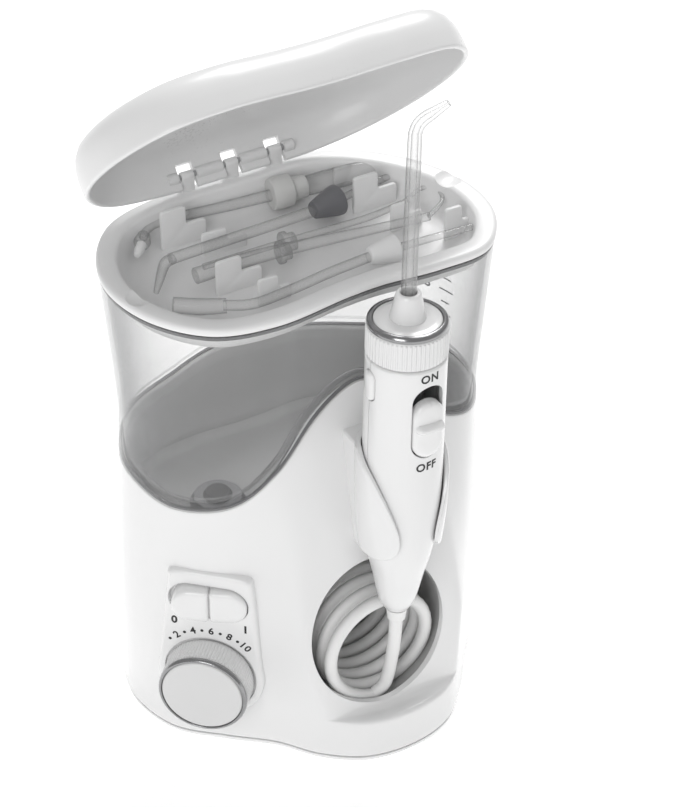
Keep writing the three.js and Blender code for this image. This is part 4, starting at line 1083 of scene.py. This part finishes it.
# %% Scraper, spare jet and looped tip
clear_tip(
    "scraper_tip_clear", ["scraper_tip"],
    clear_run("long rod", [(-39, -0.6, 0), (-20, -0.4, 0), (0, -2, 0), (26, -5.4, 0), (52, -8.6, 0)],
              [3.0, 2.8, 2.3, 1.8, 1.6]),
    clear_run("short rod", [(-34, 3.0, 0), (-2, 2.6, 0), (30, 1.6, 0), (48, 3.6, 0)], [1.2, 1.3, 1.3, 1.2]),
    collar_on("upper collar", (-3, 1.9, 0), (-1, 1.8, 0), 0.3,
              [(0, 0), (4.4, 0), (4.4, 2), (3.4, 2.4), (3.4, 5), (0, 5)], tip_clear),
    collar_on("lower collar", (-7, -2.4, 0), (-5, -2.6, 0), 0.3,
              [(0, 0), (4.2, 0), (4.2, 2), (3.2, 2.4), (3.2, 4.6), (0, 4.6)], tip_clear),
)
clear_tip(
    "spare_jet_tip", ["spare_jet_shaft"],
    clear_run("shaft", [(24, -20.2, 0), (4, -22, 0), (-14, -24.6, 0), (-29, -25.6, 0), (-39, -21.4, 0)],
              [1.9, 1.9, 1.9, 1.9, 1.9]),
    clear_run("spout", [(24, -20.2, 0), (44, -21, 0), (62, -22, 0)], [1.7, 1.4, 1.3]),
    clear_run("foot", [(-38, -22, 0), (-46, -18.2, 0), (-54, -12.6, 0)], [2.7, 3.0, 2.9]),
)
spare_collar = collar_on(
    "spare_collar", (20, -20.4, 0.3), (30, -20.6, 0.4), 0.4,
    [(0, 0), (3.0, 0), (3.4, 0.8), (5.0, 9), (5.2, 11), (4.4, 11.6), (0, 11.6)], tray_white,
)
fitted(spare_collar, "white_gloss", "tray")
LOOP = [(48, 3.6, 0), (58, 8.4, 0), (62, 7.0, 0.4), (63, 1.6, 0.6), (60, -3.6, 0.4), (52, -8.4, 0)]
clear_tip("looped_tip", [], clear_run("loop", LOOP, [0.9, 0.8, 0.8, 0.8, 0.8, 0.9]))

# %% [markdown]
# The handle leans back in its bracket, so its pieces are made upright in a frame of their own and
# turned about the leaning axis at the end. The grip is two moulded halves that meet in a fine seam
# on each side, and two real shells give that seam without any drawing on the surface.

# %% Handle frame and shells
HANDLE_FOOT = Vector((8.2, -62.8, 64.0))
HANDLE_HEAD = Vector((13.9, -58.3, 191.8))
handle_turn = np.array(Vector((0, 0, 1)).rotation_difference(HANDLE_HEAD - HANDLE_FOOT).to_matrix())


def on_handle(points):
    """From the upright handle's frame to the frame's metres."""
    return to_frame(np.array(points, float).reshape(-1, 3) @ handle_turn.T + np.array(HANDLE_FOOT))


GRIP_R, GRIP_WALL, BORE_R, SEAM, NECK = 14.6, 2.0, 2.4, 0.16, 112.0
SILHOUETTE = [
    (0, 3.5), (1.2, 4.8), (6, 7.1), (17.8, 9.7), (26, 11.75), (36, 13.2), (48.8, 14.2), (60, 14.55),
    (70, GRIP_R),
]
silhouette_line = smooth_path(SILHOUETTE, 8)


def grip_radius(s):
    """Outside radius of the grip at a height above its foot."""
    return np.interp(s, silhouette_line[:, 0], silhouette_line[:, 1])


def half_shell(name, start):
    """A half turn of the grip with its wall, from just past one seam to just before the other."""
    gap = SEAM / GRIP_R
    up = np.concatenate([silhouette_line[:, 0], np.linspace(74, NECK - 0.8, 20), [NECK - 0.3, NECK]])
    outer = [(grip_radius(s), s) for s in up[:-2]] + [(14.5, up[-2]), (14.1, up[-1])]
    profile = outer + [(max(r - GRIP_WALL, BORE_R), s) for r, s in reversed(outer)]
    columns = [
        np.array([(r * math.cos(a), r * math.sin(a), s) for r, s in profile])
        for a in np.linspace(start + gap, start + math.pi - gap, 72)
    ]
    return from_rows(name, columns[::-1], glossy_white, sharp=50, frame_points=on_handle)


front_shell = half_shell("grip_front", -math.pi)
back_shell = half_shell("grip_back", 0.0)
print("handle", round((HANDLE_HEAD - HANDLE_FOOT).length, 1), "mm from foot to collar face")

# %% [markdown]
# The front shell has a long slot for the pause slider. The tip button on the left sits right on the
# seam, so the same opening is cut from both shells. A boolean is the short way here, because each
# opening is a plain outline pushed straight in.

# %% Openings in the grip
SLOT_Z, SLOT_W, SLOT_L, SLOT_X = 90.5, 13.0, 30.0, 1.4
EJECT_Z = 102.5


def stadium(width, height, x=0.0, z=0.0, steps=14):
    """An outline with straight sides and round ends, from four quarter turns."""
    r = min(width, height) / 2
    dx, dz = width / 2 - r, height / 2 - r
    out = []
    for cx, cz, start in ((dx, dz, 0), (-dx, dz, 90), (-dx, -dz, 180), (dx, -dz, 270)):
        for t in np.radians(np.linspace(start, start + 90, steps)):
            out.append((x + cx + r * math.cos(t), z + cz + r * math.sin(t)))
    return out


def side_points(points):
    """The front of the handle turned to its left side, for the button there."""
    p = np.array(points, float).reshape(-1, 3)
    return on_handle(np.c_[p[:, 1], -p[:, 0], p[:, 2]])


carve(front_shell, cutter(stadium(SLOT_W, SLOT_L, SLOT_X, SLOT_Z), -20, -6, on_handle), sharp=50)
for shell, node in ((front_shell, "handle_front_shell"), (back_shell, "handle_back_shell")):
    carve(shell, cutter(stadium(6.4, 12.8, 0, EJECT_Z), -20, -9, side_points), sharp=50)
    fitted(shell, "white_gloss", "handle", node)

# %% [markdown]
# The pause slider is a pad with a proud thumb ridge; the tip button is a small capsule. Both are
# stacked from shrinking copies of their outline, which gives them soft crowned faces that follow
# the grip's curve. A bevelled block would have flat faces.

# %% Slider and tip button
def pad(name, outline, stack, frame_points, bend):
    """A crowned pad: copies of an outline shrunk by a distance at heights out of the face."""
    outline = np.array(outline, float)
    middle = outline.mean(0)
    size = (outline.max(0) - outline.min(0)) / 2
    rows = []
    for shrink, out in stack:
        flat = middle + (outline - middle) * (1 - shrink / size)
        rows.append(np.c_[flat[:, 0], -out + bend * (flat[:, 0] - middle[0]) ** 2, flat[:, 1]])
    return from_rows(name, rows, glossy_white, sharp=50, frame_points=frame_points)


SLIDER_Z = SLOT_Z - 3.0
slider_pad = pad(
    "thumb_slider", stadium(SLOT_W - 1.0, 23, SLOT_X, SLIDER_Z, 20),
    [(0, 11.6), (0, 14.2), (0.2, 14.9), (0.8, 15.4), (1.8, 15.7), (3.5, 15.8)], on_handle, 0.012,
)
slider_ridge = pad(
    "ridge", stadium(SLOT_W - 1.6, 3.6, SLOT_X, SLIDER_Z + 1.4, 12),
    [(0, 14.0), (0.1, 16.0), (0.5, 17.2), (1.0, 17.9), (1.4, 18.1)], on_handle, 0.012,
)
fitted(joined("thumb_slider", slider_pad, slider_ridge), "white_gloss", "slider", "pause_slider")
tip_button = pad(
    "tip_button", stadium(5.6, 12.0, 0, EJECT_Z, 16),
    [(0, 10.6), (0, 14.4), (0.2, 15.0), (0.7, 15.5), (1.5, 15.8)], side_points, 0.02,
)
fitted(tip_button, "white_gloss", "eject", "eject_button")

# %% [markdown]
# Fine ribs run round the collar and the pressure dial. A small node tree puts one rib on each point
# of a circle; its inputs are the count, the radius and the rib's size, so both barrels use it. The
# result is made a plain mesh at once.

# %% Ribs by Geometry Nodes
def rib_tree():
    """The tree, and the identifiers of its inputs by their names."""
    tree = bpy.data.node_groups.new("ribs round a barrel", "GeometryNodeTree")
    inputs = {}
    kinds = {"Count": "Int", "Radius": "Float", "Width": "Float", "Length": "Float", "Finish": "Material"}
    for label, kind in kinds.items():
        socket = tree.interface.new_socket(label, in_out="INPUT", socket_type="NodeSocket" + kind)
        inputs[label] = socket.identifier
    tree.interface.new_socket("Geometry", in_out="OUTPUT", socket_type="NodeSocketGeometry")
    entry, leave, circle, rib, place, real, paint = (tree.nodes.new(kind) for kind in (
        "NodeGroupInput", "NodeGroupOutput", "GeometryNodeMeshCircle", "GeometryNodeMeshCylinder",
        "GeometryNodeInstanceOnPoints", "GeometryNodeRealizeInstances", "GeometryNodeSetMaterial",
    ))
    rib.inputs["Vertices"].default_value = 10
    for source, output, target, socket in (
        (entry, "Count", circle, "Vertices"), (entry, "Radius", circle, "Radius"),
        (entry, "Width", rib, "Radius"), (entry, "Length", rib, "Depth"),
        (circle, "Mesh", place, "Points"), (rib, "Mesh", place, "Instance"),
        (place, "Instances", real, "Geometry"), (real, "Geometry", paint, "Geometry"),
        (entry, "Finish", paint, "Material"), (paint, "Geometry", leave, "Geometry"),
    ):
        tree.links.new(source.outputs[output], target.inputs[socket])
    return tree, inputs


rib_maker, rib_inputs = rib_tree()


def ribs(name, middle, frame_points, **sizes):
    """Ribs about +Z, then put in place by the frame function."""
    piece = bpy.data.objects.new(name, bpy.data.meshes.new(name))
    scene.collection.objects.link(piece)
    maker = piece.modifiers.new("ribs", "NODES")
    maker.node_group = rib_maker
    for label, value in {**sizes, "Finish": glossy_white}.items():
        maker[rib_inputs[label]] = value
    applied(piece)
    points = np.array([v.co for v in piece.data.vertices])
    points[:, 2] += middle
    piece.data.vertices.foreach_set("co", frame_points(points).astype(np.float32).ravel())
    piece.data.update()
    piece.data.shade_smooth()
    piece.data.set_sharp_from_angle(angle=math.radians(50))
    return piece


print("rib tree with", len(rib_maker.nodes), "nodes")

# %% [markdown]
# The collar turns with the tip: a ribbed band, a plated ring and a white cone for the tip's socket.
# All are bodies of revolution. The Screw modifier would turn a profile too, but rows from a formula
# take the handle's leaning frame as they are, so each piece is a short list of radii and heights.

# %% Collar, ring and socket
COLLAR_LOW, COLLAR_HIGH = NECK + 0.5, NECK + 12.0
SOCKET_LOW = COLLAR_HIGH + 2.4
BAND_RIBS = 56


def turned(name, profile, soft, finish, frame_points, ends="caps", sides=128):
    """A piece turned about +Z from a profile whose corners are rounded off."""
    return from_rows(name, lathe(rounded(profile, soft), sides), finish, ends=ends, frame_points=frame_points)


band = turned("spin_band", [
    (0, NECK - 5), (4, NECK - 5), (4, COLLAR_LOW), (13.9, COLLAR_LOW), (14.45, COLLAR_LOW + 0.6),
    (14.45, COLLAR_HIGH - 0.5), (14.1, COLLAR_HIGH), (12.3, COLLAR_HIGH), (12.2, COLLAR_HIGH + 2.1),
    (10, COLLAR_HIGH + 2.5), (0, COLLAR_HIGH + 2.6),
], 0.25, glossy_white, on_handle)
band_middle = (COLLAR_LOW + COLLAR_HIGH) / 2
band_ribs = ribs(
    "band ribs", band_middle, on_handle, Count=BAND_RIBS, Radius=14.35, Width=0.42, Length=10.2
)
fitted(joined("spin_band", band, band_ribs), "white_gloss", "collar", "spin_collar")
bright_ring = turned("bright_ring", [
    (12.4, COLLAR_HIGH + 0.2), (14.5, COLLAR_HIGH + 0.2), (14.6, COLLAR_HIGH + 1.2),
    (14.1, COLLAR_HIGH + 2.2), (12.9, COLLAR_HIGH + 2.6), (12.4, COLLAR_HIGH + 2.4),
    (12.4, COLLAR_HIGH + 0.2),
], 0.4, grey_metal, on_handle, ends="wrap")
fitted(bright_ring, "chrome_ring", "collar", "collar_ring")
socket = turned("tip_cone", [
    (2.8, SOCKET_LOW), (6.6, SOCKET_LOW), (6.35, SOCKET_LOW + 1.4), (5.5, SOCKET_LOW + 5),
    (4.7, SOCKET_LOW + 9.4), (4.1, SOCKET_LOW + 10.3), (2.9, SOCKET_LOW + 10.3), (2.8, SOCKET_LOW),
], 0.5, glossy_white, on_handle, ends="wrap", sides=96)
fitted(socket, "white_gloss", "collar", "tip_socket")

# %% [markdown]
# The jet tip is a clear tube that narrows upwards and bends over into a short spout. Skin and bore
# follow the same path, so the wall stays even and the bore shows through as a finer line.

# %% Jet tip
TIP_TOP, TIP_WALL, BORE_LEAST = 202.0, 1.25, 0.45
tip_path = smooth_path([
    (0, 0, NECK + 4), (0, 0, 140), (0, 0, 170), (0, 0, TIP_TOP - 8), (0.3, 0, TIP_TOP - 2.4),
    (2.4, 0, TIP_TOP + 1.0), (7.4, 0, TIP_TOP + 3.2), (12.8, 0, TIP_TOP + 5.3),
], 12)
along_tip = np.linspace(0, 1, len(tip_path))
skin_radius = np.interp(along_tip, [0, 0.25, 0.55, 0.8, 1], [2.75, 2.7, 2.45, 2.3, 1.35])
bore_radius = np.maximum(skin_radius - TIP_WALL, BORE_LEAST)
tip_rows = [*tube_rows(tip_path, skin_radius, 28), *tube_rows(tip_path, bore_radius, 28)[::-1]]
jet = from_rows("spray_tip", tip_rows, tip_clear, ends="wrap", frame_points=on_handle)
fitted(jet, "clear", "tip", "jet_tip")

# %% [markdown]
# The bracket holds the grip between a block on the recess and two leaf-shaped arms. An arm could be
# cut from a cone, but its thin edge would come out ragged, so rows go up it instead, a little wider
# than the grip, and each stops at the leaf's edge.

# %% Handle bracket
LEAF = [
    (30.4, -78), (31, -54), (33, -40), (36.5, -32), (41, -31), (47, -36), (58, -53), (67, -75),
    (73.5, -106),
]
LEAF_BACK, LEAF_NEAR, LEAF_FAR, LEAF_EDGE = -165, 0.45, 2.6, 0.5
leaf_line = smooth_path(LEAF, 8)


def leaf(side):
    """One arm, from inside the block to its rounded edge."""
    heights = np.concatenate([np.linspace(30.45, 33, 10), np.linspace(33.6, 73.4, 40)])
    edge = np.interp(heights, leaf_line[:, 0], leaf_line[:, 1])
    grid = []
    for s, front in zip(heights, edge):
        row = []
        for out, order in ((LEAF_NEAR, 1), (LEAF_FAR, -1)):
            for azimuth in np.linspace(LEAF_BACK, front, 26)[::order]:
                soft = order * LEAF_EDGE if abs(azimuth - front) <= 1e-6 else 0.0
                a = math.radians(azimuth * side - 90)
                radius = float(grip_radius(s)) + out + soft
                row.append((radius * math.cos(a), radius * math.sin(a), s))
        grid.append(np.array(row))
    return from_rows("leaf", grid[::side], glossy_white, sharp=40, frame_points=on_handle)


def bracket_block():
    """The block on the recess, with the grip's own groove cut out of it."""
    outline = [(-2.4, 90), (22.6, 90), (22.6, 135), (-2.4, 135)]
    body = softened(extruded("block", outline, -55.5, -37, glossy_white), 1.2, 4)
    groove = lathe([(0.001, -5), *[(r + 0.5, s) for s, r in silhouette_line], (15.1, 140), (0.001, 140)])
    return carve(body, from_rows("groove", groove, None, frame_points=on_handle), sharp=40)


bracket = joined("handle_cradle", bracket_block(), leaf(1), leaf(-1))
fitted(bracket, "white_gloss", "base", "handle_bracket")

# %% [markdown]
# The controls sit on a flat pad that faces the left front. The pad's own frame has x to the right
# and y into the body, so its outline, the rocker's and the dial's are all drawn straight on, and one
# function puts them in place.

# %% Control panel
FACING = math.radians(43)
KNOB_MIDDLE = 5.4
facing = np.array([-math.sin(FACING), -math.cos(FACING), 0])
knob_low, knob_high = box_mm("dial_knob")
panel_origin = (knob_low + knob_high) / 2 * [1, 1, 0] - facing * KNOB_MIDDLE
panel_right = np.array([math.cos(FACING), -math.sin(FACING), 0])


def on_panel(points):
    """x to the right along the panel, y into it, z up, to the frame's metres."""
    p = np.array(points, float).reshape(-1, 3)
    return (panel_origin + p[:, :1] * panel_right - p[:, 1:2] * facing + p[:, 2:] * [0, 0, 1]) * mm


DIAL_Z, ROCKER_Z, PANEL_ROUND = 36.0, 71.0, 20.4
PANEL_TOP = ROCKER_Z + 13
panel_outline = [
    (-15.5, PANEL_TOP - 4), (-15.2, PANEL_TOP - 1.2), (-12, PANEL_TOP), (0, PANEL_TOP + 0.2),
    (12.5, PANEL_TOP), (15.9, PANEL_TOP - 1.2), (16.6, PANEL_TOP - 4),
]
for a in np.radians(np.linspace(14, -194, 48)):
    panel_outline.append((PANEL_ROUND * math.cos(a), DIAL_Z + PANEL_ROUND * math.sin(a)))
panel_outline = closed_curve(panel_outline, 3)[::-1]


def panel_edge(shrink, y):
    """The outline drawn in by a distance, at a depth."""
    along = np.roll(panel_outline, -1, 0) - np.roll(panel_outline, 1, 0)
    along /= np.linalg.norm(along, axis=1)[:, None]
    moved = panel_outline + np.c_[-along[:, 1], along[:, 0]] * shrink
    return np.c_[moved[:, 0], np.full(len(moved), y), moved[:, 1]]


panel_rows = [panel_edge(*step) for step in ((0, 9), (0, 1.6), (0.25, 0.8), (0.8, 0.25), (1.6, 0))]
panel = from_rows("control_pad", panel_rows, glossy_white, sharp=60, frame_points=on_panel)
rocker_hole = cutter(stadium(30.4, 15.6, 0, ROCKER_Z), -5, 6, on_panel)
dial_hole = cutter(oval(0, DIAL_Z, 17.6, 17.6), -5, 1.5, on_panel)
carve(panel, rocker_hole, dial_hole, sharp=60)
fitted(panel, "white_gloss", "base", "control_panel")

# %% [markdown]
# The rocker is one moulding with two pillowed lobes and a dip between them. It is drawn flat and
# then tilted about its upright pivot, with the 0 side pressed in, so both lobes share one outline.

# %% Rocker switch
TILT, PIVOT = math.radians(7), 5.0
CROWN = [(0, -4.5), (0, 1.9), (0.2, 2.5), (0.7, 3.0), (1.6, 3.35), (2.8, 3.45)]
LOBE_CORNERS = [(0.25, -7, 1.2, 180), (14, -7, 6.8, 270), (14, 7, 6.8, 0), (0.25, 7, 1.2, 90)]


def on_rocker(points):
    """The rocker's flat frame, tilted about its pivot."""
    p = np.array(points, float).reshape(-1, 3)
    x, y = p[:, 0], p[:, 1] - PIVOT
    c, s = math.cos(TILT), math.sin(TILT)
    return on_panel(np.c_[x * c - y * s, PIVOT + x * s + y * c, p[:, 2] + ROCKER_Z])


def lobe(side):
    """Half of the rocker: a round outer end and a nearly square inner one."""
    line = []
    for x, z, r, start in LOBE_CORNERS:
        cx, cz = x + (r if x < 7 else -r), z + (r if z < 0 else -r)
        for t in np.radians(np.linspace(start, start + 90, 14)):
            line.append((side * (cx + r * math.cos(t)), cz + r * math.sin(t)))
    return pad("lobe", line, CROWN, on_rocker, -0.012)


core = extruded("core", stadium(20, 11), -1.5, 4, glossy_white, on_rocker)
fitted(joined("rocker_switch", lobe(-1), lobe(1), core), "white_gloss", "rocker", "power_rocker")

# %% [markdown]
# The pressure dial is a ribbed barrel with a plated ring round a satin cap. The three are turned
# pieces like the collar's, and only their frame differs: here +Z points out of the panel.

# %% Pressure dial
DIAL_OUT, DIAL_RIBS = 12.0, 84


def on_dial(points):
    """A piece turned about +Z, laid so that +Z points out of the panel."""
    p = np.array(points, float).reshape(-1, 3)
    return on_panel(np.c_[p[:, 0], -p[:, 2], p[:, 1] + DIAL_Z])


dial = turned("dial_barrel", [
    (0, -0.6), (16.4, -0.6), (16.7, 0.4), (16.6, DIAL_OUT - 2.6), (16.2, DIAL_OUT - 1.8), (0, DIAL_OUT - 1.8),
], 0.3, glossy_white, on_dial)
dial_middle, rib_length = (DIAL_OUT - 2.2) / 2, DIAL_OUT - 2.8
dial_ribs = ribs(
    "dial ribs", dial_middle, on_dial, Count=DIAL_RIBS, Radius=16.55, Width=0.3, Length=rib_length
)
fitted(joined("dial_barrel", dial, dial_ribs), "white_gloss", "dial", "dial_knob")
dial_ring = turned("dial_bright_ring", [
    (15.6, DIAL_OUT - 1.9), (16.9, DIAL_OUT - 1.9), (17.0, DIAL_OUT - 0.9), (16.5, DIAL_OUT),
    (15.9, DIAL_OUT + 0.2), (15.6, DIAL_OUT), (15.6, DIAL_OUT - 1.9),
], 0.5, grey_metal, on_dial, ends="wrap")
fitted(dial_ring, "chrome_ring", "dial", "dial_ring")
dial_cap = turned("dial_face", [
    (0, DIAL_OUT - 2.4), (15.4, DIAL_OUT - 2.4), (15.4, DIAL_OUT - 0.2), (14.8, DIAL_OUT + 0.15),
    (0, DIAL_OUT + 0.5),
], 0.4, satin_grey, on_dial)
fitted(dial_cap, "white_satin", "dial", "dial_cap")

# %% [markdown]
# The print is real lettering of the font, about a tenth of a millimetre thick, laid on the panel or
# wrapped round the grip. A texture would do for flat print, but real letters stay sharp close up.
# All of it is generic.

# %% Lettering
PRINT_HALF, LETTER_GAP, CAP_SHARE = 0.06, 1.12, 1.42


def lettering(name, text, height, place, finish=print_black, turn=0.0, bold=0.035):
    """Flat text as a thin mesh: place takes points with x right, z up and y into the surface."""
    curve = bpy.data.curves.new(name, "FONT")
    curve.body = text
    curve.size = height * CAP_SHARE
    curve.align_x, curve.align_y = "CENTER", "CENTER"
    curve.extrude = PRINT_HALF
    curve.space_character = LETTER_GAP
    curve.offset = bold * height
    curve.resolution_u = 3
    source = bpy.data.objects.new(name, curve)
    scene.collection.objects.link(source)
    mesh = bpy.data.meshes.new_from_object(source.evaluated_get(bpy.context.evaluated_depsgraph_get()))
    bpy.data.objects.remove(source)
    c, s = math.cos(turn), math.sin(turn)
    p = np.array([v.co for v in mesh.vertices])
    flat = np.c_[p[:, 0] * c - p[:, 1] * s, -p[:, 2], p[:, 0] * s + p[:, 1] * c]
    mesh.vertices.foreach_set("co", place(flat).astype(np.float32).ravel())
    mesh.update()
    return new_object(name, mesh, finish)


def panel_spot(x, z):
    """Lays flat print on the panel."""
    return lambda p: on_panel(p + [x, 0.0, z])


def grip_spot(arc, s, radius=GRIP_R + 0.06):
    """Wraps flat print round the grip at an arc length from its front line."""
    def place(p):
        a = (p[:, 0] + arc) / radius - math.pi / 2
        r = radius - p[:, 1]
        return on_handle(np.c_[r * np.cos(a), r * np.sin(a), p[:, 2] + s])
    return place


# %% [markdown]
# Above the dial runs a scale of even numbers with a dot before each, on a circle a little wider than
# the knob. A loop places them by angle, and each figure is turned to stand on the circle.

# %% Print on the panel and the grip
SCALE_R, SCALE_STEP, FIRST_STEP, FIRST_DOT = 21.2, 19, 36, 45.5
DOT_R = 0.62


def dot(x, z):
    """A round dot of print."""
    c, s = np.cos(angles[::16]), np.sin(angles[::16])
    rows = [np.c_[x + DOT_R * c, np.full(16, y), z + DOT_R * s] for y in (-0.05, 0.1)]
    return from_rows("dot", rows, print_black, frame_points=on_panel)


def scale_place(first, index):
    """The angle of a mark, and its place on the panel."""
    a = math.radians(90 + first - index * SCALE_STEP)
    return a, (SCALE_R * math.cos(a), DIAL_Z + SCALE_R * math.sin(a))


marks = [
    lettering("zero", "0", 3.3, panel_spot(-13.2, 60.3), bold=0.05),
    lettering("one", "I", 3.3, panel_spot(13.9, 60.5), bold=0.05),
]
for index, text in enumerate(["2", "4", "6", "8", "10"]):
    a, place = scale_place(FIRST_STEP, index)
    marks.append(lettering("step " + text, text, 3.0, panel_spot(*place), turn=a - math.pi / 2))
marks += [dot(*scale_place(FIRST_DOT, index)[1]) for index in range(5)]
fitted(joined("panel_print", *marks), "rubber_dark", "base")
words = [
    lettering(word, word, 3.2, grip_spot(1.2, s), bold=0.03) for word, s in (("ON", 108.8), ("OFF", 71.6))
]
fitted(joined("grip_print", *words), "rubber_dark", "handle")

# %% [markdown]
# The tank's right end carries volume marks, figures beside strokes with a shorter stroke between
# them. The wall there curves and leans, so each mark is bent onto it point by point.

# %% Volume marks on the tank
FIGURE_AT, STROKE_AT, STROKE_HALF = 9.5, 2, 0.55 / 2
WALL_BEND, VOLUME_LOW, VOLUME_STEP = 60, 126, 10


def wall_spot(direction, z):
    """Places flat print on the tank's outside at an angle in degrees, to be read from outside."""
    def place(p):
        q = np.radians(direction) + p[:, 0] / WALL_BEND
        height = p[:, 2] + z
        r = np.interp(q, angles, rim_radius, period=2 * math.pi) - taper(height) + 0.05 - p[:, 1]
        return to_frame(np.c_[r * np.cos(q), r * np.sin(q), height])
    return place


def stroke(z, length):
    """A level line of print."""
    x = np.linspace(-length / 2, length / 2, 9)
    line = np.array([*zip(x, x * 0 - STROKE_HALF), *zip(x[::-1], x * 0 + STROKE_HALF)])
    rows = [np.c_[line[:, 0], np.full(18, y), line[:, 1]] for y in (0.08, -0.04)]
    return from_rows("stroke", rows, print_grey, frame_points=wall_spot(STROKE_AT, z))


volume_marks = []
for index, text in enumerate(["4", "6", "8", "10", "12"]):
    z = VOLUME_LOW + VOLUME_STEP * index
    volume_marks.append(lettering("volume " + text, text, 3.4, wall_spot(FIGURE_AT, z), print_grey))
    volume_marks += [stroke(z, 6), stroke(z - VOLUME_STEP / 2, 3.4)]
fitted(joined("volume_print", *volume_marks), "rubber_dark", "tank")

# %% [markdown]
# What is left are the hidden works and small hardware, whose CAD shapes are right as they stand.
# They get the finishes of the materials they are made of, which takes one table and one loop.

# %% Finishes for the CAD pieces that stay
KEPT = {
    dark_rubber: [
        *[f"rubber_foot_{k}" for k in range(1, 5)], "tank_seal", "inlet_line", "inlet_valve", "outlet_valve",
        "tank_valve_poppet",
    ],
    steel: [
        *[f"base_screw_{k}" for k in range(1, 5)], "pump_motor", "pump_frame", "valve_cover", "hinge_pin",
        "regulator_stem",
    ],
    brass: ["motor_pinion"],
    grey_plastic: ["switch_module", "regulator_body", "mains_inlet", "pump_body", "water_valve"],
    dark_collar: ["tank_valve_seat"],
    tray_white: ["crank_gear", "pump_piston"],
    hose_white: ["hose_grommet", "hose_nipple"],
}
for finish, names in KEPT.items():
    for name in names:
        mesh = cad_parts[name].data
        mesh.materials.clear()
        mesh.materials.append(finish)
print("kept", sum(len(names) for names in KEPT.values()), "CAD pieces")

# %% [markdown]
# The box of the CAD pieces and the box of the visible ones are printed at the end, so that a
# piece which strays is noticed.

# %% Sizes at the end
bpy.context.view_layer.update()
visual_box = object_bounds()
for label, box in (("cad", cad_box), ("visual", visual_box)):
    print(label, [tuple(round(v, 4) for v in corner) for corner in box])
